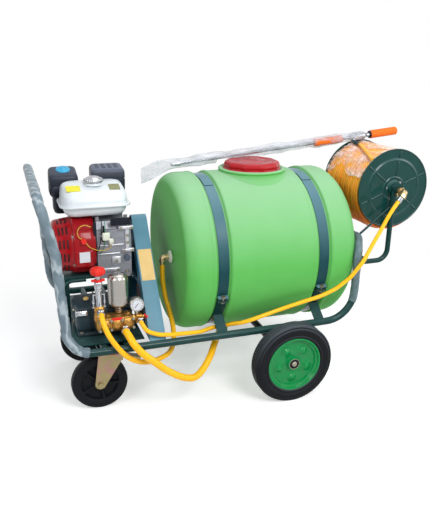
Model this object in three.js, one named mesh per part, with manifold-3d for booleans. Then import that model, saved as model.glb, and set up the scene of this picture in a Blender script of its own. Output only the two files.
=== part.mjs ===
// A wheeled orchard sprayer: a tube frame on two wheels and two casters carries a petrol engine, a
// belt-driven plunger pump, a round tank in two straps, a hose reel and a spray lance.
//
// Millimetres, +Z up. X runs along the cart from the engine to the reel and is measured here from the
// main axle, Y across it from the pump side to the far side, Z up from the ground. The whole cart is
// then moved along X so that the part's origin lies under the middle of its length.

import * as THREE from 'three';
import { mergeVertices } from 'three/addons/utils/BufferGeometryUtils.js';
import Module from 'manifold-3d';

const wasm = await Module();
wasm.setup();

// ---------------------------------------------------------------- driving dimensions

const AXLE_X = 93; // the main axle, from the part's origin
const GAP = 0.3; // between pieces that touch

const TUBE_R = 13.5; // frame and handle tube
const RAIL_Y = 289;
const RAIL_Z = 268;
const JOINT_X = -688; // where the handle's tube meets the frame's
const CROSS_TUBE_R = 12.5;
const CROSS_TUBE_X = [-665, -588];

const HOOP_X = 270; // the frame's upright end, beside the reel end of the tank
const HOOP_BEND = 110;
const HOOP_Z = 562;
const HOOP_TOP_Y = 215; // half the straight part of the hoop's crossbar

const HANDLE_FOOT_X = -785;
const HANDLE_KNEE = { x: -806, z: 620 };
const HANDLE_TOP = { x: -846, z: 795 };
const HANDLE_BEND = 90;
const GRIP_BEND = 55;
const WRAP_WALL = 4.2;

const WHEEL_R = 151; // 12 inch wheels
const TYRE_WIDTH = 58;
const RIM_R = 102.5;
const WHEEL_CLEARANCE = 8; // from the frame tube to the tyre
const AXLE_R = 10;
const AXLE_TUBE_R = 14;
const WHEEL_SIDES = 28;

const CASTER_R = 99.5; // 8 inch casters
const CASTER_WIDTH = 42;
const CASTER_Y = 181;
const CASTER_X = -626; // the swivel axis
const CASTER_TRAIL = 50;
const CASTER_HEIGHT = 236; // from the ground to the top plate
const CASTER_SIDES = 24;
const CASTER_AXLE_R = 6;
const FORK_WALL = 4;

const TANK_R = 294;
const TANK_Z = 502;
const TANK_ENDS = [-379, 297];
const TANK_WALL = 5;
const ENGINE_SHOULDER = { along: 52, in: 36 }; // how the shell turns in at its two ends
const REEL_SHOULDER = { along: 77, in: 120 };
const STRAP_X = [-249.6, 133.6];
const STRAP_WIDTH = 38;
const STRAP_WALL = 2.5;
const SADDLE_WALL = 5;
const GROOVE_DEPTH = 10;
const GROOVE_HALF = 26;
const CLAMP_ANGLE = 20; // degrees below the tank's middle
const LUG_LENGTH = 20;
const LEG_ANGLE = 51; // degrees from the tank's lowest line

const NECK_X = -43.5;
const NECK_R = 123;
const NECK_TOP = TANK_Z + TANK_R + 7;
const NECK_BORE = 92;
const DRAIN = { from: [-190, -110, 204], end: [-209, -135, 204] };
const LID_R = 107;
const LID_HEIGHT = 29;
const LID_SIDES = 10;

const ENGINE_BASE = 455;
const CRANK_Z = 561;
const BOSS_END_X = -497; // the boss round the engine's output shaft
const BLOCK_X = [-654, -530];
const CYLINDER_TILT = 25;
const FAN_R = 105;
const DECK = { x: [-775, -520], y: [-58, 175], wall: 4, lip: 30 };
const DECK_LEG = 18;
const SHELF = { x: [-770, -527], y: [-262, 200], wall: 4 };

const BELT_X = -483; // the middle of the belt
const BELT_WIDTH = 13;
const BELT_WALL = 8;
const ENGINE_GROOVE_R = 34.7;
const PUMP_GROOVE_R = 79.7;
const PULLEY_LIP = 10;
const GUARD_X = [-513, -457];
const GUARD_WALL = 2;

const PUMP = { y: -85, z: 345 }; // its crankshaft
const MANIFOLD = { x: [-680, -556], y: [-250, -182.3], z: [312, 366] };
const CHAMBER = { x: -601, y: -200, r: 35.5, top: 508 };
const REGULATOR = { x: -671, y: -228 };
const COCK = { x: [-552, -526], y: [-243, -217], z: [333, 365] };
const GAUGE = { x: -545, y: -230, z: 402, r: 24.6 };

const REEL = { x: 500.3, z: 720.6, r: 154.8, half: 136.5, wall: 5 };
const REEL_CORE_R = 85;
const CORE_WALL = 3;
const RIM_ABOVE_WINDING = 8.8; // how far the discs stand out past the wound hose
const SHAFT_R = 10;
const STAND_TUBE_R = 10;
const STAND_Y = 160;
const STAND_Z = 438;
const STAND_X = 486;

const LANCE_TUBE_R = 7;
const VALVE_R = 17;
const LANCE = { nozzle: -346, film: -459, grip: [268, 402], valve: [440, 520], rear: [538, 675] };
const FRONT_GRIP_R = 15;
const REAR_GRIP_R = 16.5;

// ---------------------------------------------------------------- helpers

const rad = THREE.MathUtils.degToRad;
const vec = (p) => new THREE.Vector3(p[0], p[1], p[2]);

// A closed geometry as a solid. Triangles that shrank to nothing at a pole are dropped, and a
// geometry that came out inside out is turned round.
function solid(geometry) {
  const bare = geometry.clone();
  for (const name of Object.keys(bare.attributes)) {
    if (name !== 'position') bare.deleteAttribute(name);
  }
  const merged = mergeVertices(bare, 1e-3);
  const points = merged.attributes.position.array;
  const corner = (i) => vec([points[3 * i], points[3 * i + 1], points[3 * i + 2]]);
  let triangles = [];
  let volume = 0;
  for (let i = 0; i < merged.index.count; i += 3) {
    const t = [0, 1, 2].map((k) => merged.index.getX(i + k));
    if (t[0] === t[1] || t[1] === t[2] || t[2] === t[0]) continue;
    triangles.push(t);
    volume += corner(t[0]).dot(corner(t[1]).cross(corner(t[2])));
  }
  if (volume < 0) triangles = triangles.map((t) => [t[0], t[2], t[1]]);
  const mesh = new wasm.Mesh({
    numProp: 3, vertProperties: Float32Array.from(points), triVerts: Uint32Array.from(triangles.flat()),
  });
  return new wasm.Manifold(mesh);
}

function geometryOf(manifold) {
  const mesh = manifold.getMesh();
  const geometry = new THREE.BufferGeometry();
  geometry.setAttribute('position', new THREE.BufferAttribute(Float32Array.from(mesh.vertProperties), 3));
  geometry.setIndex(new THREE.BufferAttribute(Uint32Array.from(mesh.triVerts), 1));
  geometry.computeVertexNormals();
  return geometry;
}

const join = (...all) => geometryOf(all.map(solid).reduce((a, b) => a.add(b)));
const cut = (base, ...tools) => geometryOf(tools.map(solid).reduce((a, b) => a.subtract(b), solid(base)));
const shifted = (geometry, x, y, z) => geometry.clone().translate(x, y, z);
const flipped = (geometry) => geometry.clone().scale(1, -1, 1); // the same piece on the other side
const turnedX = (geometry, degrees, y, z) => geometry.clone()
  .translate(0, -y, -z).rotateX(rad(degrees)).translate(0, y, z);

// A box from its lowest to its highest corner.
function block(low, high) {
  const size = high.map((h, i) => h - low[i]);
  const box = new THREE.BoxGeometry(...size);
  return box.translate(low[0] + size[0] / 2, low[1] + size[1] / 2, low[2] + size[2] / 2);
}

// A round bar or cone between two points.
function rod(from, to, r, sides = 12, rTo = r) {
  const a = vec(from);
  const b = vec(to);
  const along = b.clone().sub(a);
  const bar = new THREE.CylinderGeometry(rTo, r, along.length(), sides);
  const turn = new THREE.Quaternion().setFromUnitVectors(vec([0, 1, 0]), along.clone().normalize());
  bar.applyQuaternion(turn);
  const middle = a.add(b).multiplyScalar(0.5);
  return bar.translate(middle.x, middle.y, middle.z);
}

// A profile of [radius, place along the axis] turned about X, Y or Z through a point.
function turned(axis, profile, sides, at = [0, 0, 0], phase = 0) {
  const lathe = new THREE.LatheGeometry(profile.map((p) => new THREE.Vector2(p[0], p[1])), sides, phase);
  if (axis === 'x') lathe.rotateZ(-Math.PI / 2);
  if (axis === 'z') lathe.rotateX(Math.PI / 2);
  return lathe.translate(...at);
}

// A closed profile is one that comes back to its first point.
const closed = (profile) => [...profile, profile[0]];

// A flat outline with a thickness. It lies across 'x' as [y, z], across 'y' as [x, z], across 'z' as
// [x, y], from one place on that axis to another.
function slab(axis, outline, from, to) {
  const shape = new THREE.Shape(outline.map((p) => new THREE.Vector2(p[0], p[1])));
  const plate = new THREE.ExtrudeGeometry(shape, { depth: to - from, bevelEnabled: false });
  plate.translate(0, 0, from);
  const unit = { x: [0, 1, 0, 0, 0, 1, 1, 0, 0], y: [1, 0, 0, 0, 0, 1, 0, 1, 0], z: [1, 0, 0, 0, 1, 0, 0, 0, 1] };
  const [a, b, c] = [0, 3, 6].map((i) => vec(unit[axis].slice(i, i + 3)));
  return plate.applyMatrix4(new THREE.Matrix4().makeBasis(a, b, c));
}

// The outline of a straight flat bar between two points.
function strip(a, b, width) {
  const length = Math.hypot(b[0] - a[0], b[1] - a[1]);
  const off = [(-(b[1] - a[1]) * width) / 2 / length, ((b[0] - a[0]) * width) / 2 / length];
  return [
    [a[0] - off[0], a[1] - off[1]], [b[0] - off[0], b[1] - off[1]],
    [b[0] + off[0], b[1] + off[1]], [a[0] + off[0], a[1] + off[1]],
  ];
}

// A block with rounded upright edges and rounded top and bottom rims.
function softBlock(low, high, round, rim, steps = 2) {
  const [w, d] = [high[0] - low[0] - 2 * rim, high[1] - low[1] - 2 * rim];
  const s = new THREE.Shape();
  const r = round;
  s.moveTo(-w / 2 + r, -d / 2).lineTo(w / 2 - r, -d / 2).absarc(w / 2 - r, -d / 2 + r, r, -Math.PI / 2, 0);
  s.lineTo(w / 2, d / 2 - r).absarc(w / 2 - r, d / 2 - r, r, 0, Math.PI / 2);
  s.lineTo(-w / 2 + r, d / 2).absarc(-w / 2 + r, d / 2 - r, r, Math.PI / 2, Math.PI);
  s.lineTo(-w / 2, -d / 2 + r).absarc(-w / 2 + r, -d / 2 + r, r, Math.PI, 1.5 * Math.PI);
  const bevel = { bevelThickness: rim, bevelSize: rim, bevelSegments: steps, curveSegments: steps + 1 };
  const g = new THREE.ExtrudeGeometry(s, { depth: high[2] - low[2] - 2 * rim, bevelEnabled: true, ...bevel });
  return g.translate((low[0] + high[0]) / 2, (low[1] + high[1]) / 2, low[2] + rim);
}

// The points of a bent tube: straight runs between corners, each corner rounded by an arc.
function bent(corners, bends, stepDegrees = 18) {
  const line = [vec(corners[0])];
  for (let i = 1; i < corners.length - 1; i += 1) {
    const at = vec(corners[i]);
    const back = vec(corners[i - 1]).sub(at).normalize();
    const on = vec(corners[i + 1]).sub(at).normalize();
    const turn = Math.PI - back.angleTo(on);
    const reach = bends[i - 1] * Math.tan(turn / 2);
    const middle = back.clone().add(on).normalize().multiplyScalar(bends[i - 1] / Math.cos(turn / 2)).add(at);
    const first = back.clone().multiplyScalar(reach).add(at).sub(middle);
    const axis = back.clone().negate().cross(on).normalize();
    const steps = Math.max(2, Math.ceil(turn / rad(stepDegrees)));
    for (let k = 0; k <= steps; k += 1) {
      line.push(first.clone().applyAxisAngle(axis, (turn * k) / steps).add(middle));
    }
  }
  line.push(vec(corners[corners.length - 1]));
  return line;
}

// A curve that is sampled exactly at its points, so that straight runs cost one step.
class Route extends THREE.Curve {
  constructor(points) {
    super();
    this.points = points;
  }

  getPointAt(u, target = new THREE.Vector3()) {
    const place = u * (this.points.length - 1);
    const i = Math.min(Math.floor(place + 1e-9), this.points.length - 2);
    return target.copy(this.points[i]).lerp(this.points[i + 1], place - i);
  }

  getPoint(t, target) {
    return this.getPointAt(t, target);
  }

  getTangentAt(u, target = new THREE.Vector3()) {
    const last = this.points.length - 1;
    const i = Math.round(u * last);
    const arriving = this.points[Math.max(i, 1)].clone().sub(this.points[Math.max(i, 1) - 1]).normalize();
    const leaving = this.points[Math.min(i, last - 1) + 1].clone().sub(this.points[Math.min(i, last - 1)]);
    return target.copy(arriving.add(leaving.normalize()).normalize());
  }
}

function circle(r, sides, hole = 0) {
  const ring = (radius) => Array.from({ length: sides }, (_, i) => new THREE.Vector2(
    radius * Math.cos((2 * Math.PI * i) / sides), radius * Math.sin((2 * Math.PI * i) / sides)));
  const shape = new THREE.Shape(ring(r));
  if (hole) shape.holes.push(new THREE.Path(ring(hole).reverse()));
  return shape;
}

function tube(points, r, sides, hole = 0) {
  const settings = { steps: points.length - 1, bevelEnabled: false, extrudePath: new Route(points) };
  return new THREE.ExtrudeGeometry(circle(r, sides, hole), settings);
}

// A hose through points chosen by hand. Its first and last runs are straight, so that its ends sit
// square on their spigots.
function hose(points, diameter) {
  const [start, ...between] = points.map(vec);
  const end = between.pop();
  const curve = new THREE.CatmullRomCurve3(between, false, 'centripetal');
  const steps = Math.ceil(curve.getLength() / (2.2 * diameter));
  return tube([start, ...curve.getSpacedPoints(steps), end], diameter / 2, 8);
}

// Part of a ring about the tank's axis, across X. Angles run from +Y towards +Z, and the middle of
// each flat inside the ring is at its inner radius.
function bandAround(x, width, rIn, rOut, fromDegrees, toDegrees, steps) {
  const widen = 1 / Math.cos(rad((toDegrees - fromDegrees) / steps / 2));
  const arc = (r, a, b) => Array.from({ length: steps + 1 }, (_, i) => {
    const t = rad(a + ((b - a) * i) / steps);
    return [widen * r * Math.cos(t), TANK_Z + widen * r * Math.sin(t)];
  });
  const outline = [...arc(rOut, fromDegrees, toDegrees), ...arc(rIn, toDegrees, fromDegrees)];
  return slab('x', outline, x - width / 2, x + width / 2);
}

const cart = new THREE.Group();
cart.position.x = AXLE_X;

const finish = (color, roughness, metalness) => new THREE.MeshStandardMaterial({ color, roughness, metalness });

function add(name, geometry, material, at = [0, 0, 0]) {
  const mesh = new THREE.Mesh(geometry, material);
  mesh.name = name;
  mesh.position.set(...at);
  cart.add(mesh);
}

// ---------------------------------------------------------------- finishes

const frameGreen = finish('#12403a', 0.35, 0.2);
const blackPaint = finish('#141719', 0.45, 0.2);
const tankGreen = finish('#5fc05a', 0.45, 0);
const strapSteel = finish('#2d5f66', 0.35, 0.6);
const tyreRubber = finish('#1a1a1c', 0.8, 0);
const rimGreen = finish('#118a4a', 0.4, 0.1);
const zinc = finish('#a39a6c', 0.4, 0.8);
const wrapFilm = finish('#9fb2ba', 0.35, 0);
const redPaint = finish('#8f1420', 0.35, 0.1);
const redPlastic = finish('#d21f28', 0.4, 0);
const aluminium = finish('#a2a6aa', 0.45, 0.8);
const whitePlastic = finish('#e9edf0', 0.4, 0);
const blackPlastic = finish('#1d2024', 0.5, 0);
const brass = finish('#b88a3c', 0.35, 0.9);
const chrome = finish('#b9bcbd', 0.2, 1);
const yellowHose = finish('#f2b01e', 0.4, 0);
const orangeHose = finish('#ef8a1d', 0.4, 0);
const orangeGrip = finish('#f0692b', 0.5, 0);
const guardSteel = finish('#4f86a0', 0.35, 0.3);

// ---------------------------------------------------------------- frame and handle

const hoopCrossX = TANK_ENDS[1] + 3 + TUBE_R;

function frameTube() {
  const start = [JOINT_X, -RAIL_Y, RAIL_Z];
  const near = [start, [HOOP_X, -RAIL_Y, RAIL_Z], [HOOP_X, -RAIL_Y, HOOP_Z - 17], [hoopCrossX, -HOOP_TOP_Y, HOOP_Z]];
  const far = near.map(([x, y, z]) => [x, -y, z]).reverse();
  return tube(bent([...near, ...far], [HOOP_BEND, 50, 70, 70, 50, HOOP_BEND]), TUBE_R, 10);
}

const crossTube = (x) => rod([x, -RAIL_Y, RAIL_Z], [x, RAIL_Y, RAIL_Z], CROSS_TUBE_R, 10);
add('chassis_frame', join(frameTube(), ...CROSS_TUBE_X.map(crossTube)), frameGreen);

const handleNear = [
  [JOINT_X - GAP, -RAIL_Y, RAIL_Z], [HANDLE_FOOT_X, -RAIL_Y, RAIL_Z],
  [HANDLE_KNEE.x, -RAIL_Y, HANDLE_KNEE.z], [HANDLE_TOP.x, -RAIL_Y, HANDLE_TOP.z],
];
const handleFar = handleNear.map(([x, y, z]) => [x, -y, z]).reverse();
const handleBends = [HANDLE_BEND, 250, GRIP_BEND, GRIP_BEND, 250, HANDLE_BEND];
const handleLine = bent([...handleNear, ...handleFar], handleBends, 18);
add('push_handle', tube(handleLine, TUBE_R, 8), frameGreen);
add('handle_wrap', tube(handleLine, TUBE_R + WRAP_WALL, 8, TUBE_R + GAP), wrapFilm);

// ---------------------------------------------------------------- main axle and wheels

const tyreInner = RAIL_Y + TUBE_R + WHEEL_CLEARANCE;
const wheelY = tyreInner + TYRE_WIDTH / 2;

function axleBracket(side) {
  const top = RAIL_Z - TUBE_R - GAP;
  const outline = [[-45, top], [45, top], [20, WHEEL_R - 22], [-20, WHEEL_R - 22]];
  return slab('y', outline, side * RAIL_Y - 4, side * RAIL_Y + 4);
}

const axleEnd = wheelY + 20;
add('axle_beam', join(
  rod([0, -RAIL_Y - 4, WHEEL_R], [0, RAIL_Y + 4, WHEEL_R], AXLE_TUBE_R, 14),
  rod([0, -axleEnd, WHEEL_R], [0, axleEnd, WHEEL_R], AXLE_R, 14),
  axleBracket(-1), axleBracket(1),
), blackPaint);

// The tread is flat where it meets the ground, so its radius there is measured to the flats.
const flats = (r, sides) => r / Math.cos(Math.PI / sides);

function mainWheel(name, side) {
  const half = TYRE_WIDTH / 2;
  const R = flats(WHEEL_R, WHEEL_SIDES);
  const seat = RIM_R;
  const tyre = closed([
    [seat, half - 3], [seat + 6, half], [R - 16, half], [R - 4, half - 7], [R, half - 17],
    [R, 17 - half], [R - 4, 7 - half], [R - 16, -half], [seat + 6, -half], [seat, 3 - half],
  ]);
  const hubEnd = tyreInner - RAIL_Y - 4 - GAP; // how far the hub reaches in, to the axle's bracket
  const bore = AXLE_R + GAP;
  const capIn = axleEnd - wheelY + GAP;
  const edge = RIM_R - GAP;
  const rim = [
    [0, capIn + 5], [12, capIn + 5], [14, 18], [30, 12], [62, 12], [74, 19], [90, half - 5], [edge, half - 2],
    [edge, 2 - half], [92, 5 - half], [84, 6], [22, 6], [22, -half - hubEnd], [bore, -half - hubEnd],
    [bore, capIn], [0, capIn],
  ];
  const facing = (profile) => profile.map(([r, t]) => [r, side * t]);
  const phase = Math.PI / WHEEL_SIDES;
  const at = [0, side * wheelY, WHEEL_R];
  add(`${name}_tyre`, join(turned('y', facing(tyre), WHEEL_SIDES, [0, 0, 0], phase)), tyreRubber, at);
  add(`${name}_rim`, join(turned('y', facing(rim), WHEEL_SIDES, [0, 0, 0], phase)), rimGreen, at);
}

mainWheel('near_wheel', -1);
mainWheel('far_wheel', 1);

// ---------------------------------------------------------------- casters

const plateWall = 5;
const raceTop = CASTER_HEIGHT - plateWall;
const raceBottom = raceTop - 7;
const forkTop = raceBottom - GAP;
const crownTop = forkTop - 10;
const crownBottom = crownTop - 8;
const forkInner = CASTER_WIDTH / 2 + 4;

function casterBeam() {
  const [low, high] = [CASTER_HEIGHT - 0.5, RAIL_Z - CROSS_TUBE_R - GAP];
  const halfWidth = 58;
  const wall = 3;
  const reach = CASTER_Y + 64;
  const outer = block([CASTER_X - halfWidth, -reach, low], [CASTER_X + halfWidth, reach, high]);
  const inner = block(
    [CASTER_X - halfWidth + wall, -reach - 1, low + wall], [CASTER_X + halfWidth - wall, reach + 1, high - wall]);
  const plates = [-1, 1].flatMap((side) => [
    block([CASTER_X - 52, side * CASTER_Y - 43, raceTop], [CASTER_X + 52, side * CASTER_Y + 43, CASTER_HEIGHT]),
    rod([CASTER_X, side * CASTER_Y, raceBottom], [CASTER_X, side * CASTER_Y, raceTop + 1], 36, 20),
  ]);
  return join(cut(outer, inner), ...plates);
}
add('caster_beam', casterBeam(), blackPaint);

// A leg tapers from the crown to a round end about the wheel's axle.
function forkLeg(side) {
  const eye = { x: -CASTER_TRAIL, z: CASTER_R, r: 19 };
  const end = [340, 310, 270, 230, 200, 180].map((a) => [
    eye.x + eye.r * Math.cos(rad(a)), eye.z + eye.r * Math.sin(rad(a))]);
  const outline = [[-CASTER_TRAIL - 4, crownBottom + 1], [33, crownBottom + 1], [30, crownBottom - 16], ...end];
  const y = side * (forkInner + FORK_WALL / 2);
  return slab('y', outline, y - FORK_WALL / 2, y + FORK_WALL / 2);
}

function caster(name, side) {
  const reach = forkInner + FORK_WALL;
  const wheelX = -CASTER_TRAIL;
  const fork = join(
    rod([0, 0, crownTop - 1], [0, 0, forkTop], 40, 20),
    block([-CASTER_TRAIL - 4, -reach, crownBottom], [33, reach, crownTop]),
    forkLeg(-1), forkLeg(1),
    rod([wheelX, -reach - 6, CASTER_R], [wheelX, reach + 6, CASTER_R], CASTER_AXLE_R, 12),
  );
  const R = flats(CASTER_R, CASTER_SIDES);
  const half = CASTER_WIDTH / 2;
  const bore = CASTER_AXLE_R + GAP;
  const wheel = closed([
    [bore, half + 3], [18, half + 3], [18, 12], [62, 8], [70, half - 3], [R - 11, half], [R - 3, half - 5], [R, 8],
    [R, -8], [R - 3, 5 - half], [R - 11, -half], [70, 3 - half], [62, -8], [18, -12], [18, -half - 3],
    [bore, -half - 3],
  ]);
  const pivot = { x: 27, z: crownBottom - 14 };
  const brake = join(
    rod([pivot.x, GAP - forkInner, pivot.z], [pivot.x, forkInner - GAP, pivot.z], 5, 12),
    slab('y', [[24, pivot.z], [24, pivot.z - 17], [34, pivot.z - 17], [36, pivot.z - 2]], -12, 12),
    slab('y', [[30, pivot.z - 3], [96, pivot.z - 24], [100, pivot.z - 18], [98, pivot.z - 14], [32, pivot.z + 4]], -15, 15),
  );
  const at = [CASTER_X, side * CASTER_Y, 0];
  add(`${name}_fork`, fork, zinc, at);
  const phase = Math.PI / CASTER_SIDES;
  const turnedWheel = join(turned('y', wheel, CASTER_SIDES, [0, 0, 0], phase));
  add(`${name}_wheel`, turnedWheel, tyreRubber, [at[0] - CASTER_TRAIL, at[1], CASTER_R]);
  add(`${name}_brake`, brake, zinc, at);
}

caster('near_caster', -1);
caster('far_caster', 1);

// ---------------------------------------------------------------- tank, straps and saddles

// The shell's outline as [radius, x], moved in by some depth. It has a shoulder at each end and a
// groove for each strap.
function tankOutline(inset, shoulderSteps) {
  const R = TANK_R - inset;
  const [a, b] = [TANK_ENDS[0] + inset, TANK_ENDS[1] - inset];
  const shoulder = (side, end, size) => Array.from({ length: shoulderSteps + 1 }, (_, i) => {
    const t = (Math.PI / 2) * (side < 0 ? i / shoulderSteps : 1 - i / shoulderSteps);
    const along = size.along - inset / 2;
    return [R - size.in + size.in * Math.sin(t), end - side * along * (1 - Math.cos(t))];
  });
  const grooves = STRAP_X.flatMap((x) => {
    const [half, deep] = [GROOVE_HALF + inset, R - GROOVE_DEPTH];
    return [[R, x - half - 3], [deep, x - half + 3], [deep, x + half - 3], [R, x + half + 3]];
  });
  return [[0, a], ...shoulder(-1, a, ENGINE_SHOULDER), ...grooves, ...shoulder(1, b, REEL_SHOULDER), [0, b]];
}

function sprayTank() {
  const sides = 36;
  const outer = join(
    turned('x', tankOutline(0, 5), sides, [0, 0, TANK_Z]),
    rod([NECK_X, 0, TANK_Z + TANK_R * 0.8], [NECK_X, 0, NECK_TOP], NECK_R, 28),
    rod([DRAIN.from[0], DRAIN.from[1], TANK_Z - TANK_R * 0.8], [DRAIN.from[0], DRAIN.from[1], 190], 22, 12),
    rod(DRAIN.from, DRAIN.end, 12, 10),
  );
  const cavity = turned('x', tankOutline(TANK_WALL, 3), sides, [0, 0, TANK_Z]);
  const mouth = rod([NECK_X, 0, TANK_Z], [NECK_X, 0, NECK_TOP + 1], NECK_BORE, 28);
  return cut(outer, cavity, mouth);
}
add('spray_tank', sprayTank(), tankGreen);

const lidTop = NECK_TOP + GAP + LID_HEIGHT;
const lidTopR = LID_R - 12;
add('tank_lid', join(
  turned('z', [
    [0, NECK_TOP + GAP], [LID_R - 3, NECK_TOP + GAP], [LID_R, NECK_TOP + GAP + 5], [LID_R - 5, lidTop - 7],
    [lidTopR, lidTop], [0, lidTop],
  ], LID_SIDES, [NECK_X, 0, 0]),
  rod([NECK_X, 0, NECK_TOP - 12], [NECK_X, 0, NECK_TOP + 2], NECK_BORE - 4, 20),
), redPlastic);

const grooveR = TANK_R - GROOVE_DEPTH + GAP;
const lugAngle = { strap: -CLAMP_ANGLE + 1.3, saddle: -CLAMP_ANGLE - 1.3 };

// A lug stands out from the band at an angle, and the bolt crosses both lugs.
function lug(x, degrees, rIn, wall) {
  const plate = block([x - STRAP_WIDTH / 2, rIn, -wall / 2], [x + STRAP_WIDTH / 2, rIn + LUG_LENGTH, wall / 2]);
  return plate.rotateX(rad(degrees)).translate(0, 0, TANK_Z);
}

function lugBolt(x, rAt, length, r) {
  const bolt = rod([x, rAt, -length], [x, rAt, length], r, 8);
  return bolt.rotateX(rad(-CLAMP_ANGLE)).translate(0, 0, TANK_Z);
}

function strap(x) {
  const rOut = grooveR + STRAP_WALL;
  const start = lugAngle.strap;
  const band = bandAround(x, STRAP_WIDTH, grooveR, rOut, start - 0.3, 180 - start + 0.3, 26);
  const end = join(lug(x, start, grooveR, 4), lugBolt(x, rOut + 11, 15, 4));
  return join(band, end, flipped(end));
}

function saddle(x) {
  const rOut = grooveR + SADDLE_WALL;
  const start = lugAngle.saddle;
  const band = bandAround(x, STRAP_WIDTH, grooveR, rOut, 180 - start, 360 + start, 18);
  const end = lug(x, start, grooveR, 5);
  const hole = lugBolt(x, grooveR + STRAP_WALL + 11, 16, 4 + GAP);
  const t = rad(270 - LEG_ANGLE);
  const legLength = Math.hypot(RAIL_Y, TANK_Z - RAIL_Z) - TUBE_R - GAP;
  const onSpoke = (r) => [r * Math.cos(t), TANK_Z + r * Math.sin(t)];
  const outline = strip(onSpoke(grooveR + 2), onSpoke(legLength), SADDLE_WALL);
  const leg = slab('x', outline, x - STRAP_WIDTH / 2, x + STRAP_WIDTH / 2);
  const whole = join(band, end, flipped(end), leg, flipped(leg));
  return cut(whole, hole, flipped(hole));
}

['engine_end', 'reel_end'].forEach((place, i) => {
  add(`${place}_strap`, strap(STRAP_X[i]), strapSteel);
  add(`${place}_saddle`, saddle(STRAP_X[i]), frameGreen);
});

const elbow = { y: -76, z: 505, x: TANK_ENDS[0] - 36 };
add('tank_elbow', join(
  rod([TANK_ENDS[0] - GAP, elbow.y, elbow.z], [TANK_ENDS[0] - 13, elbow.y, elbow.z], 17, 12),
  rod([TANK_ENDS[0] - 8, elbow.y, elbow.z], [elbow.x - 8, elbow.y, elbow.z], 9, 10),
  rod([elbow.x, elbow.y, elbow.z + 5], [elbow.x, elbow.y, 478], 8.5, 10),
), brass);

// ---------------------------------------------------------------- decks

const deckTop = ENGINE_BASE - GAP;
const shelfBottom = RAIL_Z + CROSS_TUBE_R + GAP;
const shelfTop = shelfBottom + SHELF.wall;

function engineDeck() {
  const [x0, x1] = DECK.x;
  const [y0, y1] = DECK.y;
  const lip = deckTop - DECK.lip;
  const legs = [x0 + 9, x1 - 6 - DECK_LEG].flatMap((x) => [y0 + 3, y1 - 3 - DECK_LEG].map((y) => (
    block([x, y, shelfTop + GAP], [x + DECK_LEG, y + DECK_LEG, deckTop - 1]))));
  return join(
    block([x0, y0, deckTop - DECK.wall], [x1, y1, deckTop]),
    block([x0, y0, lip], [x1, y0 + DECK.wall, deckTop]),
    block([x0, y1 - DECK.wall, lip], [x1, y1, deckTop]),
    ...legs,
  );
}
add('engine_deck', engineDeck(), frameGreen);

add('pump_shelf', join(
  block([SHELF.x[0], SHELF.y[0], shelfBottom], [SHELF.x[1], SHELF.y[1], shelfTop]),
  block([SHELF.x[0], SHELF.y[0], shelfBottom - 16], [SHELF.x[0] + 4, SHELF.y[1], shelfTop]),
), frameGreen);

// ---------------------------------------------------------------- engine

const [blockLeft, blockRight] = BLOCK_X;
const cylinderMid = -592;
const finHalf = 58;
const headHalf = 56;

// The cylinder leans back about the crankshaft. Its fins and its head lean with it.
const leaned = (geometry) => turnedX(geometry, CYLINDER_TILT, 0, CRANK_Z);

function fins(y0, y1, pitch) {
  const plates = [];
  for (let y = y0; y < y1; y += pitch) {
    plates.push(block([cylinderMid - finHalf, y, CRANK_Z - 55], [cylinderMid + finHalf, y + 4, CRANK_Z + 55]));
  }
  return plates;
}

const headBox = leaned(block([cylinderMid - headHalf, 152, CRANK_Z - 56], [cylinderMid + headHalf, 190, CRANK_Z + 56]));

function engineBlock() {
  const cylinder = [
    block([cylinderMid - 46, 40, CRANK_Z - 46], [cylinderMid + 46, 152 - GAP, CRANK_Z + 46]), ...fins(92, 148, 11),
  ].map(leaned);
  const ribs = [-20, 5, 30, 55].map((z) => block([blockLeft + 8, -93, CRANK_Z + z], [blockRight - 20, -88, CRANK_Z + z + 5]));
  const posts = [[-640, -50], [-540, -50], [-640, 40], [-540, 40]].map(([x, y]) => (
    rod([x, y, 630], [x, y, fuelTankBottom - GAP], 7, 8)));
  return join(
    block([blockLeft + 2, -98, ENGINE_BASE], [blockRight - 6, 86, ENGINE_BASE + 14]),
    block([blockLeft, -90, ENGINE_BASE + 4], [blockRight, 74, 628]),
    slab('x', [[-80, 620], [-60, 652], [30, 652], [60, 620]], blockLeft + 6, blockRight - 12),
    rod([blockRight - 1, 0, CRANK_Z], [BOSS_END_X, 0, CRANK_Z], 34, 16),
    ...cylinder, ...ribs, ...posts,
  );
}

const flange = { z: 706, h: 6 }; // the seam of the fuel tank, which sets its other heights
const fuelTankBottom = flange.z - 38;
const fuelTankTop = flange.z + 71;
const fuelNeck = { x: -639, r: 24.5, top: fuelTankTop + 8 };
add('engine_block', engineBlock(), aluminium);

add('cylinder_head', join(
  headBox,
  leaned(block([cylinderMid - 46, 189, CRANK_Z - 42], [cylinderMid + 46, 214, CRANK_Z + 42])),
  leaned(rod([cylinderMid - 30, 188, CRANK_Z - 46], [cylinderMid - 30, 225, CRANK_Z - 46], 7, 10)),
), aluminium);

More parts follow.
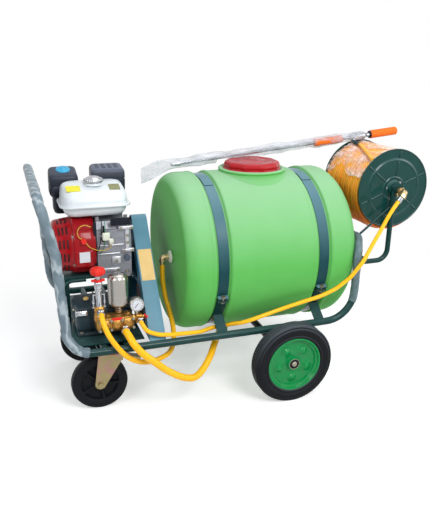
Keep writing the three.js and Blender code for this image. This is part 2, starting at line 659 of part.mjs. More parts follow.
const fanFace = blockLeft - GAP;
const nearCowl = (inset, to) => slab('x', [
  [inset - 104, 505 + inset], [inset - 104, 632], [inset - 88, 655 - inset], [-20, 664 - inset], [-20, 505 + inset],
], inset - 728, to);
const coverWall = 3;
add('recoil_cover', cut(
  join(
    turned('x', [
      [0, -796], [74, -796], [90, -784], [96, -738], [FAN_R, -724], [FAN_R, fanFace], [0, fanFace],
    ], 28, [0, 0, CRANK_Z], Math.PI / 28),
    nearCowl(0, fanFace),
    slab('x', [[-112, 508], [-112, 560], [-104, 575], [-90, 575], [-90, 500], [-104, 500]], -722, -662),
  ),
  turned('x', [
    [0, coverWall - 796], [72, coverWall - 796], [86, -782], [92, -736], [FAN_R - coverWall, -722],
    [FAN_R - coverWall, fanFace + 1], [0, fanFace + 1],
  ], 28, [0, 0, CRANK_Z], Math.PI / 28),
  nearCowl(coverWall, fanFace + 1),
), redPaint);

add('recoil_grip', softBlock([-814, -8, 612], [-796 - GAP, 48, 632], 4, 3, 1), blackPlastic);

add('fuel_tank', join(
  softBlock([-752, -70, fuelTankBottom], [-531, 84, flange.z + 8], 22, 8),
  softBlock([-764, -82, flange.z], [-519, 96, flange.z + flange.h], 30, 1),
  softBlock([-754, -72, flange.z], [-529, 86, fuelTankTop], 18, 14),
  rod([fuelNeck.x, 0, fuelTankTop - 5], [fuelNeck.x, 0, fuelNeck.top], fuelNeck.r, 20),
), whitePlastic);

const capBoreR = fuelNeck.r + 0.7; // its flats clear the neck's corners as it turns
add('fuel_cap', turned('z', [
  [0, GAP], [capBoreR, GAP], [capBoreR, -5], [31, -5], [32, 14], [24, 20], [0, 21],
], 20, [fuelNeck.x, 0, fuelNeck.top]), chrome);

const airBox = { low: [-780, 106, 706], high: [-676, 196, 808] };
add('air_cleaner', join(
  softBlock(airBox.low, airBox.high, 8, 8),
  block([-770, 120, 640], [-700, 182, airBox.low[2] + 2]),
  rod([-702, 150, 656], [cylinderMid - headHalf - GAP, 150, 656], 17, 12),
), blackPlastic);

const mufflerBox = { low: [-628, 106, 714], high: [-505, 196, 812], wall: 3 };
const exhaust = rod([cylinderMid + 25, 131, 672], [cylinderMid + 25, 131, mufflerBox.low[2] + 4], 13, 12);
add('muffler', cut(
  join(softBlock(mufflerBox.low, mufflerBox.high, 10, 12), cut(exhaust, shifted(headBox, 0, -GAP / 2, GAP))),
  softBlock(mufflerBox.low.map((v) => v + mufflerBox.wall), mufflerBox.high.map((v) => v - mufflerBox.wall), 8, 10),
  rod([mufflerBox.high[0] - 10, 175, mufflerBox.low[2] + 37], [mufflerBox.high[0] + 2, 175, mufflerBox.low[2] + 37], 9, 10),
), blackPaint);

add('engine_switch', rod([-697, -104 - GAP, 602], [-697, -122, 602], 9, 12), redPlastic);
const lever = { x: -626, z: 596, length: 50 }; // its swing stays clear of the fan cover
add('throttle_lever', join(
  rod([lever.x, -94, lever.z], [lever.x, -97.5, lever.z], 8, 12),
  slab('y', [
    [lever.x - 4, lever.z], [lever.x + 4, lever.z], [lever.x + 3, lever.z + lever.length],
    [lever.x - 3, lever.z + lever.length],
  ], -97.5, -94.5),
  rod([lever.x, -97, lever.z], [lever.x, -93 - GAP, lever.z], 4, 8),
), blackPaint);
const oilCapZ = ENGINE_BASE + 70;
add('oil_cap', join(
  rod([-547, -90 - GAP, oilCapZ], [-547, -106, oilCapZ], 11, 10),
  block([-556, -113, oilCapZ - 2.5], [-538, -104, oilCapZ + 2.5]),
), blackPlastic);

// ---------------------------------------------------------------- belt drive

const beltLow = BELT_X - BELT_WIDTH / 2;
const beltHigh = BELT_X + BELT_WIDTH / 2;

// A pulley is a disc with a square groove for the belt. Its shaft runs towards the machine.
function pulley(grooveR, shaftFrom, shaftR, sides) {
  const lip = grooveR + PULLEY_LIP;
  const slack = GAP * 2;
  return [
    [0, shaftFrom], [shaftR, shaftFrom], [shaftR, beltLow - 6], [lip, beltLow - 6], [lip, beltLow - slack],
    [grooveR, beltLow - slack], [grooveR, beltHigh + slack], [lip, beltHigh + slack], [lip, beltHigh + 5], [0, beltHigh + 5],
  ];
}

// The engine's shaft starts at its boss and the pump's at the boss on its crankcase.
const pumpBossEnd = -520;
add('engine_pulley', turned('x', pulley(ENGINE_GROOVE_R, BOSS_END_X + GAP, 12), 24, [0, 0, CRANK_Z]), blackPaint);
add('pump_pulley', turned('x', pulley(PUMP_GROOVE_R, pumpBossEnd + GAP, 11), 30, [0, PUMP.y, PUMP.z]), redPaint);

// The outline of a loop stretched around both pulleys, at some radius on each.
function aroundPulleys(rEngine, rPump, sides = 60) {
  const wheels = [{ y: 0, z: CRANK_Z, r: rEngine }, { y: PUMP.y, z: PUMP.z, r: rPump }];
  return Array.from({ length: sides }, (_, i) => {
    const t = (2 * Math.PI * i) / sides;
    const reach = (w) => w.y * Math.cos(t) + w.z * Math.sin(t) + w.r;
    const w = reach(wheels[0]) > reach(wheels[1]) ? wheels[0] : wheels[1];
    return [w.y + w.r * Math.cos(t), w.z + w.r * Math.sin(t)];
  });
}

const beltIn = [ENGINE_GROOVE_R + 0.5, PUMP_GROOVE_R + 0.5];
add('drive_belt', cut(
  slab('x', aroundPulleys(beltIn[0] + BELT_WALL, beltIn[1] + BELT_WALL), beltLow, beltHigh),
  slab('x', aroundPulleys(...beltIn), beltLow - 1, beltHigh + 1),
), tyreRubber);

// The guard is a folded steel cover, open towards the machine and below. Its foot stands on the near
// rail, and a bar across its mouth is hooked to the deck.
function beltGuard() {
  const foot = RAIL_Z + TUBE_R + GAP;
  const outline = [[-287, foot], [-30, 636], [-20, 649], [-4, 654], [22, 641], [92, 569], [96, 554], [58, foot]];
  const inner = [[-282, foot - 1], [-27.5, 633], [-18, 646], [-5, 651], [20, 639], [90, 567], [93, 554], [56, foot - 1]];
  const [x0, x1] = GUARD_X;
  const shell = cut(slab('x', outline, x0, x1), slab('x', inner, x0 - 1, x1 - GUARD_WALL));
  const tie = block([x0, -172, 428], [x0 + 3, 74, 440]);
  const hook = block([DECK.x[1] + GAP, -58, 428], [x0 + 1, -30, 440]);
  return join(shell, tie, hook);
}
add('belt_guard', beltGuard(), guardSteel);

// ---------------------------------------------------------------- pump

function pumpCrankcase() {
  const [left, right] = [-744, -572];
  const outline = [
    [-182, 296], [-182, 372], [-166, 388], [-60, 388], [-30, 366], [-30, 296], [-16, 296], [-16, shelfTop + GAP],
    [-196, shelfTop + GAP], [-196, 296],
  ];
  return join(
    slab('x', outline, left, right),
    rod([right - 1, PUMP.y, PUMP.z], [pumpBossEnd, PUMP.y, PUMP.z], 24, 16),
    block([-738, -188, 356], [-706, -180, 374]),
    rod([-700, -110, 387], [-700, -110, 398], 12, 10),
  );
}
add('pump_crankcase', pumpCrankcase(), blackPaint);

const [mx, my, mz] = [MANIFOLD.x, MANIFOLD.y, MANIFOLD.z];
add('pump_manifold', join(
  softBlock([mx[0], my[0], mz[0]], [mx[1], my[1], mz[1]], 3, 5, 1),
  ...[-655, -617.5, -580].map((x) => rod([x, my[0] + 2, 342], [x, my[0] - 8, 342], 15, 10)),
  rod([-592, my[0] + 4, 322], [-592, my[0] - 12, 322], 15, 10),
  rod([REGULATOR.x, REGULATOR.y, mz[1] - 2], [REGULATOR.x, REGULATOR.y, 380], 16, 10),
  rod([mx[1] - 2, -230, 349], [COCK.x[0] - GAP, -230, 349], 12, 10),
), brass);

add('air_chamber', turned('z', [
  [0, mz[1] + GAP], [12, mz[1] + GAP], [12, 386], [24, 393], [CHAMBER.r, 400], [CHAMBER.r, CHAMBER.top - 14],
  [24, CHAMBER.top - 4], [12, CHAMBER.top], [0, CHAMBER.top],
], 20, [CHAMBER.x, CHAMBER.y, 0]), chrome);

const knobBottom = 515;
function regulatorBody() {
  const { x, y } = REGULATOR;
  const arms = [-1, 1].flatMap((side) => [
    block([x + side * 13 - 8, y - 3, 446], [x + side * 13 + 8, y + 3, 452]),
    rod([x + side * 18, y, 404], [x + side * 18, y, 450], 3.5, 8),
  ]);
  return join(
    turned('z', [
      [0, 380 + GAP], [17, 380 + GAP], [17, 408], [11, 412], [11, 468], [14, 472], [14, 494], [8, 495],
      [8, knobBottom - GAP], [0, knobBottom - GAP],
    ], 12, [x, y, 0]),
    rod([x, y, 392], [x, my[0] - 12, 392], 8, 10),
    ...arms,
  );
}
add('pressure_regulator', regulatorBody(), chrome);

add('regulator_knob', turned('z', [
  [0, knobBottom], [16, knobBottom], [22, 520], [26, 526], [26, 537], [20, 545], [0, 545],
], 16, [REGULATOR.x, REGULATOR.y, 0]), redPlastic);

add('regulator_lever', cut(
  join(
    rod([REGULATOR.x, REGULATOR.y, 495.3], [REGULATOR.x, REGULATOR.y, 502.5], 13, 12),
    block([REGULATOR.x - 22, REGULATOR.y - 5, 495.3], [REGULATOR.x + 22, REGULATOR.y + 5, 502.5]),
  ),
  rod([REGULATOR.x, REGULATOR.y, 490], [REGULATOR.x, REGULATOR.y, 510], 8 + 2 * GAP, 16),
), redPlastic);

add('outlet_cock', join(
  block([COCK.x[0], COCK.y[0], COCK.z[0]], [COCK.x[1], COCK.y[1], COCK.z[1]]),
  rod([-539, -238, 349], [-539, -262, 349], 6.5, 10),
  rod([COCK.x[1] - 2, -230, 352], [-520, -230, 352], 6, 10),
), brass);

add('cock_lever', join(
  rod([-520 + GAP, -230, 352], [-514, -230, 352], 8, 12),
  slab('x', [[-236, 346], [-226, 346], [-224, 358], [-254, 364], [-254, 358]], -520 + GAP, -514),
), redPlastic);

add('pressure_gauge', join(
  rod([GAUGE.x, GAUGE.y - 14, GAUGE.z], [GAUGE.x, GAUGE.y + 12, GAUGE.z], GAUGE.r, 24),
  rod([GAUGE.x, GAUGE.y, COCK.z[1] + GAP], [GAUGE.x, GAUGE.y, GAUGE.z - 20], 6, 10),
), chrome);

// ---------------------------------------------------------------- reel

const standFoot = HOOP_Z - TUBE_R - GAP;

// A bracket drops from the hoop's crossbar, runs out below the reel and rises to its shaft.
function standSide(side) {
  const y = side * STAND_Y;
  const line = bent([
    [hoopCrossX, y, standFoot], [hoopCrossX, y, STAND_Z], [STAND_X, y, STAND_Z], [STAND_X, y, REEL.z - 4],
  ], [38, 45]);
  return join(
    tube(line, STAND_TUBE_R, 8),
    rod([REEL.x, y - side * 11, REEL.z], [REEL.x, y + side * 12, REEL.z], 20, 16),
    rod([hoopCrossX, y, standFoot - 24], [STAND_X, y, 661], 4.5, 8),
  );
}

add('reel_stand', join(
  standSide(-1), standSide(1),
  rod([400, -STAND_Y, STAND_Z], [400, STAND_Y, STAND_Z], STAND_TUBE_R, 10),
  rod([REEL.x, -STAND_Y - 16, REEL.z], [REEL.x, STAND_Y + 16, REEL.z], SHAFT_R, 18),
), frameGreen);

// The core between the discs is a tube, so the reel is hollow round its shaft.
const reelSides = 36;
const windingR = REEL.r - RIM_ABOVE_WINDING;
const disc = { out: REEL.half, in: REEL.half - REEL.wall, hub: STAND_Y - 11 - GAP };
add('hose_reel', join(turned('y', closed([
  [SHAFT_R + GAP, -disc.hub], [30, -disc.hub], [32, -disc.out], [REEL.r, -disc.out], [REEL.r, -disc.in],
  [REEL_CORE_R, -disc.in], [REEL_CORE_R, disc.in], [REEL.r, disc.in], [REEL.r, disc.out], [32, disc.out],
  [30, disc.hub], [SHAFT_R + GAP, disc.hub], [SHAFT_R + GAP, disc.in], [REEL_CORE_R - CORE_WALL, disc.in],
  [REEL_CORE_R - CORE_WALL, -disc.in], [SHAFT_R + GAP, -disc.in],
]), reelSides, [REEL.x, 0, REEL.z])), frameGreen);

const windingHalf = disc.in - 2;
add('hose_winding', join(turned('y', closed([
  [REEL_CORE_R + GAP, -windingHalf], [windingR - 5, -windingHalf], [windingR, 5 - windingHalf],
  [windingR, windingHalf - 5], [windingR - 5, windingHalf], [REEL_CORE_R + GAP, windingHalf],
]), reelSides, [REEL.x, 0, REEL.z])), orangeHose);

const swivelStart = -STAND_Y - 16 - GAP;
const swivelStartPoint = [REEL.x + 2, -212, REEL.z + 3];
const swivelEnd = [483, -216, 702];
add('reel_swivel', join(
  rod([REEL.x, swivelStart, REEL.z], [REEL.x, -214, REEL.z], 11, 12),
  rod(swivelStartPoint, swivelEnd, 9, 10),
), brass);

// ---------------------------------------------------------------- lance

// The lance lies on the lid and on the rim of the far disc, which set its line.
const lanceAcross = (x) => 45 + 0.093 * (x - LANCE.nozzle);
const rimOffset = disc.in - lanceAcross(REEL.x);
const lidEdge = NECK_X - Math.sqrt(lidTopR ** 2 - lanceAcross(NECK_X - lidTopR) ** 2); // where it leaves the lid's top
const restReel = REEL.z + REEL.r + 1.5 * GAP + Math.sqrt(VALVE_R ** 2 - rimOffset ** 2);
const restLid = lidTop + GAP + LANCE_TUBE_R;
const lanceSlope = (restReel - restLid) / (REEL.x - lidEdge);
const onLance = (x, dy = 0, dz = 0) => [x, lanceAcross(x) + dy, restLid + lanceSlope * (x - lidEdge) + dz];
const lanceRod = (x0, x1, r, sides, rTo) => rod(onLance(x0), onLance(x1), r, sides, rTo);

const inlet = { from: 458, reach: [-7, -22.8, -14.4] };
inlet.end = onLance(inlet.from).map((v, i) => v + inlet.reach[i]);
add('spray_lance', join(
  lanceRod(LANCE.nozzle, LANCE.valve[0] + 2, LANCE_TUBE_R, 12),
  lanceRod(LANCE.nozzle, LANCE.nozzle + 34, 6, 12, 11),
  lanceRod(LANCE.valve[0], LANCE.valve[1], VALVE_R, 12),
  lanceRod(LANCE.valve[1] - 1, LANCE.rear[0] - GAP, 9, 12),
  rod(onLance(inlet.from), inlet.end, 7.5, 10),
), chrome);

// A grip is a sleeve on the tube, or a solid end piece.
function grip(x0, x1, r, bore) {
  const [a, b] = [vec(onLance(x0)), vec(onLance(x1))];
  const length = a.distanceTo(b);
  const profile = bore
    ? closed([[bore, 0], [r - 3, 0], [r, 4], [r, length - 4], [r - 3, length], [bore, length]])
    : [[0, 0], [r - 3, 0], [r, 4], [r, length - 5], [r - 4, length], [0, length]];
  const piece = turned('y', profile, 12);
  const along = b.clone().sub(a).normalize();
  piece.applyQuaternion(new THREE.Quaternion().setFromUnitVectors(vec([0, 1, 0]), along));
  return join(piece.translate(a.x, a.y, a.z));
}

add('front_grip', grip(LANCE.grip[0], LANCE.grip[1], FRONT_GRIP_R, LANCE_TUBE_R + GAP * 1.5), orangeGrip);
add('rear_grip', grip(LANCE.rear[0], LANCE.rear[1], REAR_GRIP_R, 0), orangeGrip);

// The film sleeve lies over the lance as an arch that is open below.
function lanceFilm() {
  const [from, to] = [vec(onLance(LANCE.film)), vec(onLance(LANCE.valve[0] - 6))];
  const [rIn, rOut] = [FRONT_GRIP_R + GAP, FRONT_GRIP_R + 5];
  const arc = (r, a, b) => Array.from({ length: 9 }, (_, i) => {
    const t = rad(a + ((b - a) * i) / 8);
    return [r * Math.cos(t), r * Math.sin(t)];
  });
  const arch = slab('x', [...arc(rOut, 0, 180), ...arc(rIn, 180, 0)], 0, from.distanceTo(to));
  const along = to.clone().sub(from).normalize();
  arch.rotateY(-Math.asin(along.z)).rotateZ(Math.atan2(along.y, along.x));
  return arch.translate(from.x, from.y, from.z);
}
add('lance_film', lanceFilm(), wrapFilm);

// ---------------------------------------------------------------- hoses

// A point some way beyond the end of a spigot, along it.
const beyond = (from, end, reach) => {
  const along = vec(end).sub(vec(from)).normalize().multiplyScalar(reach);
  return along.add(vec(end)).toArray();
};

const spigotY = my[0] - 12;
add('suction_hose', hose([
  [-592, spigotY - GAP, 322], [-592, spigotY - 10, 322], [-588, -288, 318], [-576, -314, 296], [-550, -325, 262],
  [-507, -327, 221], [-455, -326, 175], [-400, -320, 141], [-360, -310, 131], [-324, -290, 146], [-288, -262, 178],
  [-258, -218, 199], [-234, -176, 204], beyond(DRAIN.from, DRAIN.end, 14), beyond(DRAIN.from, DRAIN.end, GAP),
], 25), yellowHose);

add('return_hose', hose([
  [REGULATOR.x, spigotY - GAP, 392], [REGULATOR.x, spigotY - 10, 392], [-670, -288, 376], [-656, -310, 335],
  [-628, -317, 288], [-595, -313, 247], [-553, -300, 217], [-513, -280, 201], [-473, -260, 197], [-434, -238, 203],
  [-412, -215, 224], [-402, -180, 260], [-402, -130, 310], [-409, -98, 356], [-414, -80, 410], [elbow.x, elbow.y, 465],
  [elbow.x, elbow.y, 478 - GAP],
], 18), yellowHose);

add('delivery_hose', hose([
  [-539, -262 - GAP, 349], [-539, -270, 349], [-536, -283, 343], [-524, -291, 325], [-490, -293, 308], [-451, -292, 300],
  [-400, -288, 295], [-333, -281, 290], [-292, -257, 285], [-268, -245, 282], [-250, -242, 281], [-226, -244, 283],
  [-203, -264, 295], [-180, -288, 307], [-150, -299, 318], [-60, -304, 342], [39, -303, 363], [119, -303, 379],
  [176, -306, 401], [205, -311, 423], [230, -314, 443], [253, -315, 470], [279, -314, 501], [308, -300, 532],
  [343, -281, 567], [380, -263, 605], [411, -249, 641], [442, -235, 671], [463, -224, 686],
  beyond(swivelStartPoint, swivelEnd, 10), beyond(swivelStartPoint, swivelEnd, GAP),
], 15), yellowHose);

// The hose to the lance comes off the top of the winding, and lies on it as far as the near disc.
const GUN_HOSE = 13;
const onWinding = [55, 20, -15, -50, -85, -121].map((y) => {
  const r = windingR + GUN_HOSE / 2 + 1;
  const t = rad(108.5 + (55 - y) * 0.125);
  return [REEL.x + r * Math.cos(t), y, REEL.z + r * Math.sin(t)];
});
add('gun_hose', hose([
  beyond(onLance(inlet.from), inlet.end, GAP), beyond(onLance(inlet.from), inlet.end, 8), ...onWinding,
  onWinding[onWinding.length - 1].map((v, i) => v - [0.8, 3, 0.5][i]),
], GUN_HOSE), orangeHose);

export default cart;
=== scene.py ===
# %% [markdown]
# # A wheeled orchard sprayer
# A tube frame on two wheels and two casters carries a petrol engine, a plunger pump, a round tank in
# two straps, a hose reel and a spray lance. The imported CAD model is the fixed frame, and every piece
# here is laid over it, in the same place and at the same size. The CAD model counts millimetres from
# the main axle, so this script does too, and turns them into metres at the last moment.

# %% Load the frame
import math

import bmesh
import bpy
import numpy as np
from mathutils import Matrix


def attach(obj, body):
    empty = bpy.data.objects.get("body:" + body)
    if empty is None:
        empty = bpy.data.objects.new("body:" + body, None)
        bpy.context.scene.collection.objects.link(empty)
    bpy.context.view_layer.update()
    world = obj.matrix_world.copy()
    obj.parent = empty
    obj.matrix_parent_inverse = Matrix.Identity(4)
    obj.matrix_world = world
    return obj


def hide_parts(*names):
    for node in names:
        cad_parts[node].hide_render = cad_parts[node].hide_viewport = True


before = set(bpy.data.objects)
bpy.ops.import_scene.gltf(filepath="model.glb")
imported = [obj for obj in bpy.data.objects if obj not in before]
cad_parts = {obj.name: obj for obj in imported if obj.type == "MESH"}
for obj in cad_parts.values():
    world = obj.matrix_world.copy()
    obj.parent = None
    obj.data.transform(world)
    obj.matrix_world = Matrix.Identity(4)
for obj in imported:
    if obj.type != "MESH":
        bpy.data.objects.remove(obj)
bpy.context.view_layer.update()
scene = bpy.context.scene
scene.view_settings.view_transform = "Standard"
AXLE_X = 0.093  # metres from the origin to the main axle


def metres(points):
    """Millimetres counted from the main axle, as metres in the shared frame."""
    return np.asarray(points, float) / 1000 + (AXLE_X, 0.0, 0.0)


# %% [markdown]
# ## Camera
# The photograph's camera was worked out from the wheels' circles, the tank's outline and the frame's
# parallel tubes. It stands a little over two metres away, looks 19 degrees down and is turned 19
# degrees from the cart's side. A lens of 43 mm on a 36 mm tall frame gives its field of view.

# %% Camera
YAW, PITCH, ROLL = np.radians([19.282, 18.807, 0.946])
forward = np.array([math.sin(YAW) * math.cos(PITCH), math.cos(YAW) * math.cos(PITCH), -math.sin(PITCH)])
level = np.array([math.cos(YAW), -math.sin(YAW), 0.0])
upward = np.cross(level, forward)
right = math.cos(ROLL) * level + math.sin(ROLL) * upward
top = math.cos(ROLL) * upward - math.sin(ROLL) * level
lens = bpy.data.cameras.new("photo_camera")
lens.sensor_fit = "VERTICAL"
lens.sensor_height = 36
lens.lens = 43.296
camera = bpy.data.objects.new("photo_camera", lens)
place = np.eye(4)
place[:3, 0], place[:3, 1], place[:3, 2] = right, top, -forward
place[:3, 3] = metres([-938.8, -2157.0, 1233.9])
camera.matrix_world = Matrix(place.tolist())
scene.collection.objects.link(camera)
scene.camera = camera
print("camera at", place[:3, 3].round(3))

# %% [markdown]
# ## Light, floor and background
# The photograph is a cut-out on white, lit from all round. Four wide soft lamps and a pale world
# give that light. The world and the far floor look white to the camera and in reflections without
# adding light, through the Light Path node, and the floor near the cart keeps its shadow.


# %% Nodes and colours
def add(tree, kind, settings=None, **inputs):
    """Adds one node. Settings are its properties. An input is a value, or a socket to link from."""
    node = tree.nodes.new(kind)
    for key, value in (settings or {}).items():
        setattr(node, key, value)
    for key, value in inputs.items():
        socket = node.inputs[int(key[1:])] if key[0] == "_" else node.inputs[key.replace("__", " ")]
        if isinstance(value, bpy.types.NodeSocket):
            tree.links.new(value, socket)
        else:
            socket.default_value = value
    return node


def colour(code):
    """An sRGB hex code as linear red, green, blue and alpha."""
    srgb = np.array([int(code[i:i + 2], 16) for i in (1, 3, 5)]) / 255
    linear = np.where(srgb <= 0.04045, srgb / 12.92, ((srgb + 0.055) / 1.055) ** 2.4)
    return (*linear.tolist(), 1.0)


def seen_directly(tree):
    """One for the camera, for reflections and through films, and none for light that falls on things."""
    path = add(tree, "ShaderNodeLightPath")
    shown = add(tree, "ShaderNodeMath", {"operation": "MAXIMUM"}, _0=path.outputs["Is Camera Ray"],
                _1=path.outputs["Is Glossy Ray"])
    seen = add(tree, "ShaderNodeMath", {"operation": "MAXIMUM"}, _0=shown.outputs[0],
               _1=path.outputs["Is Transmission Ray"])
    return seen.outputs[0]


# %% World and lamps
WHITE = (1, 1, 1, 1)
world = bpy.data.worlds.new("studio")
scene.world = world
world.use_nodes = True
tree = world.node_tree
tree.nodes.clear()
ambient = add(tree, "ShaderNodeBackground", Color=colour("#f4f7fb"), Strength=0.36)
white = add(tree, "ShaderNodeBackground", Color=WHITE, Strength=1.0)
mixed = add(tree, "ShaderNodeMixShader", _0=seen_directly(tree), _1=ambient.outputs[0], _2=white.outputs[0])
add(tree, "ShaderNodeOutputWorld", Surface=mixed.outputs[0])


def lamp(name, at, size, watts, aim=(0, 0, 0.5)):
    """A square soft lamp that faces a point. Both points are in metres."""
    data = bpy.data.lights.new(name, "AREA")
    data.size = size
    data.energy = watts
    obj = bpy.data.objects.new(name, data)
    from_aim = np.asarray(at, float) - np.asarray(aim, float)
    z = from_aim / np.linalg.norm(from_aim)
    x = np.cross((0, 0, 1), z)
    x /= np.linalg.norm(x)
    turn = np.eye(4)
    turn[:3, 0], turn[:3, 1], turn[:3, 2], turn[:3, 3] = x, np.cross(z, x), z, at
    obj.matrix_world = Matrix(turn.tolist())
    scene.collection.objects.link(obj)


lamp("key_softbox", (0.3, -2.6, 2.5), 1.2, 64)
lamp("top_softbox", (0.3, 0.3, 3.4), 2.0, 27)
lamp("right_softbox", (3.0, -1.4, 1.8), 1.8, 38)
lamp("left_softbox", (-2.8, -1.7, 2.3), 1.4, 36)

# %% Floor
FLOOR_HALF = 12
floor_mesh = bpy.data.meshes.new("floor")
corners = [(-FLOOR_HALF, -FLOOR_HALF, 0), (FLOOR_HALF, -FLOOR_HALF, 0), (FLOOR_HALF, FLOOR_HALF, 0),
           (-FLOOR_HALF, FLOOR_HALF, 0)]
floor_mesh.from_pydata(corners, [], [(0, 1, 2, 3)])
floor = bpy.data.objects.new("floor", floor_mesh)
scene.collection.objects.link(floor)
floor_paint = bpy.data.materials.new("floor_paper")
floor_paint.use_nodes = True
tree = floor_paint.node_tree
tree.nodes.clear()
where = add(tree, "ShaderNodeNewGeometry")
reach = add(tree, "ShaderNodeVectorMath", {"operation": "LENGTH"}, _0=where.outputs["Position"])
far = add(tree, "ShaderNodeMapRange", {"interpolation_type": "SMOOTHSTEP"}, _0=reach.outputs["Value"],
          _1=0.95, _2=1.7)
paper = add(tree, "ShaderNodeBsdfDiffuse", Color=colour("#e6e6e6"))
glow = add(tree, "ShaderNodeEmission", Color=WHITE, Strength=0.42)
near_floor = add(tree, "ShaderNodeAddShader", _0=paper.outputs[0], _1=glow.outputs[0])
far_floor = add(tree, "ShaderNodeEmission", Color=WHITE, Strength=1.0)
shown_floor = add(tree, "ShaderNodeMixShader", _0=far.outputs[0], _1=near_floor.outputs[0],
                  _2=far_floor.outputs[0])
floor_mix = add(tree, "ShaderNodeMixShader", _0=seen_directly(tree), _1=paper.outputs[0],
                _2=shown_floor.outputs[0])
add(tree, "ShaderNodeOutputMaterial", Surface=floor_mix.outputs[0])
floor_mesh.materials.append(floor_paint)

# %% [markdown]
# ## Finishes
# Each material starts from what the real one is. Patterns read Object coordinates in millimetres,
# because every piece's object sits at the origin, so a grain keeps its real size on every piece.
# Where a finish gets paler on what faces up, that is dust together with a painted sheen of the light from
# above.


# %% Start a material
def start(name, slot, code, roughness, metallic=0.0, gloss=0.5, **sockets):
    """A material with one shader. Gives it with its tree, its shader and coordinates in millimetres."""
    material = bpy.data.materials.new(name)
    material.use_nodes = True
    material["slot"] = slot
    nodes = material.node_tree
    shader = nodes.nodes["Principled BSDF"]
    shader.inputs["Base Color"].default_value = colour(code)
    shader.inputs["Roughness"].default_value = roughness
    shader.inputs["Metallic"].default_value = metallic
    shader.inputs["Specular IOR Level"].default_value = gloss
    for key, value in sockets.items():
        shader.inputs[key.replace("_", " ")].default_value = value
    place = add(nodes, "ShaderNodeTexCoord")
    in_mm = add(nodes, "ShaderNodeVectorMath", {"operation": "SCALE"}, _0=place.outputs["Object"],
                Scale=1000.0)
    return material, nodes, shader, in_mm.outputs[0]


def remap(nodes, value, low, high, to_low, to_high):
    """A value carried from one range to another, and held at its ends."""
    return add(nodes, "ShaderNodeMapRange", _0=value, _1=low, _2=high, _3=to_low, _4=to_high).outputs[0]


def tint(nodes, share, under, over):
    """One colour over another, by a share from 0 to 1."""
    return add(nodes, "ShaderNodeMix", {"data_type": "RGBA"}, _0=share, _6=under, _7=over).outputs[2]


def raised(nodes, shader, height, millimetres):
    """Relief from a height between 0 and 1."""
    relief = add(nodes, "ShaderNodeBump", Strength=1.0, Distance=millimetres / 1000, Height=height)
    nodes.links.new(relief.outputs[0], shader.inputs["Normal"])


def mottle(nodes, shader, at, size, codes, roughness=None, bump=0.0, detail=3.0, stretch=(1, 1, 1)):
    """Clouds of some size in millimetres shift the colour, and can shift roughness and height too.
    Gives back their strength and their colour."""
    spread = add(nodes, "ShaderNodeVectorMath", {"operation": "MULTIPLY"}, _0=at, _1=stretch)
    clouds = add(nodes, "ShaderNodeTexNoise", Vector=spread.outputs[0], Scale=1 / size, Detail=detail)
    strength = clouds.outputs["Fac"]
    shade = tint(nodes, strength, colour(codes[0]), colour(codes[1]))
    nodes.links.new(shade, shader.inputs["Base Color"])
    if roughness:
        nodes.links.new(remap(nodes, strength, 0.3, 0.7, *roughness), shader.inputs["Roughness"])
    if bump:
        raised(nodes, shader, strength, bump)
    return strength, shade


def add_dust_and_top_sheen(nodes, shader, code, amount):
    """Pale dust, and a painted sheen of the light from above, on what faces up: from none on a level wall to
    some amount on a flat top.
    """
    facing = add(nodes, "ShaderNodeTexCoord")
    up = add(nodes, "ShaderNodeSeparateXYZ", _0=facing.outputs["Normal"])
    under = shader.inputs["Base Color"].links[0].from_socket
    top = tint(nodes, remap(nodes, up.outputs["Z"], 0.0, 1.0, 0.0, amount), under, colour(code))
    nodes.links.new(top, shader.inputs["Base Color"])


def plain(name, slot, code, roughness, size, codes, spread=None, bump=0.0, metallic=0.0, gloss=0.5,
          dust_and_sheen=None, **clouds):
    """A finish with clouds of some size in two colours, and perhaps dust with a painted sheen on top, of some
    colour and amount.
    """
    material, nodes, shader, at = start(name, slot, code, roughness, metallic, gloss)
    mottle(nodes, shader, at, size, codes, spread, bump, **clouds)
    if dust_and_sheen:
        add_dust_and_top_sheen(nodes, shader, *dust_and_sheen)
    return material


# %% Enamels
# Bottle-green enamel, sprayed on steel tube: glossy, with the faint orange peel of a thick coat.
enamel = plain("bottle_green_enamel", "frame_enamel", "#103634", 0.22, 14, ("#0c2e2d", "#143f3d"),
               (0.17, 0.26), 0.06, gloss=0.16, dust_and_sheen=("#8fb0b4", 0.1))
# The same enamel on the reel's flat discs, a little greener.
disc_enamel = plain("green_enamel_on_disc", "frame_enamel", "#123f3a", 0.16, 40, ("#0f3834", "#144440"),
                    (0.14, 0.2), 0.03, gloss=0.25, dust_and_sheen=("#8fb0b4", 0.25))
# Black enamel on the axle and on pressed steel boxes: less gloss.
black_enamel = plain("black_enamel", "black_paint", "#16181e", 0.42, 12, ("#15171d", "#242832"),
                     (0.34, 0.5), 0.1, gloss=0.1)
# Heat-proof enamel on the muffler's guard: dark grey, paler on top from dust and a painted sheen of the light
# from above.
muffler_enamel = plain("grey_heat_enamel", "black_paint", "#262b36", 0.45, 9, ("#20242e", "#2f3542"),
                       (0.38, 0.55), 0.15, gloss=0.3, dust_and_sheen=("#7a8296", 0.55))
# Dark teal enamel on the steel straps, and a lighter blue-green one on the belt guard.
strap_enamel = plain("teal_enamel_on_strap", "strap_steel", "#123c42", 0.3, 30, ("#0f3840", "#17464b"),
                     bump=0.1, gloss=0.12, dust_and_sheen=("#8fbccc", 0.42))
guard_enamel = plain("blue_green_enamel", "guard_paint", "#356f88", 0.3, 40, ("#31677f", "#3b7890"),
                     bump=0.1, gloss=0.12, dust_and_sheen=("#a9cdd8", 0.3))
# Red stoving enamel on the engine's pressed fan cover, and a dark red painted as the shade inside its slots.
red_enamel = plain("red_stoving_enamel", "red_paint", "#9c0f18", 0.15, 25, ("#8a0a12", "#a0111a"),
                   (0.13, 0.18), 0.05, gloss=0.2)
shaded_red = plain("shaded_red_enamel", "red_paint", "#3a0c11", 0.5, 12, ("#2c080c", "#4a1016"), gloss=0.2)
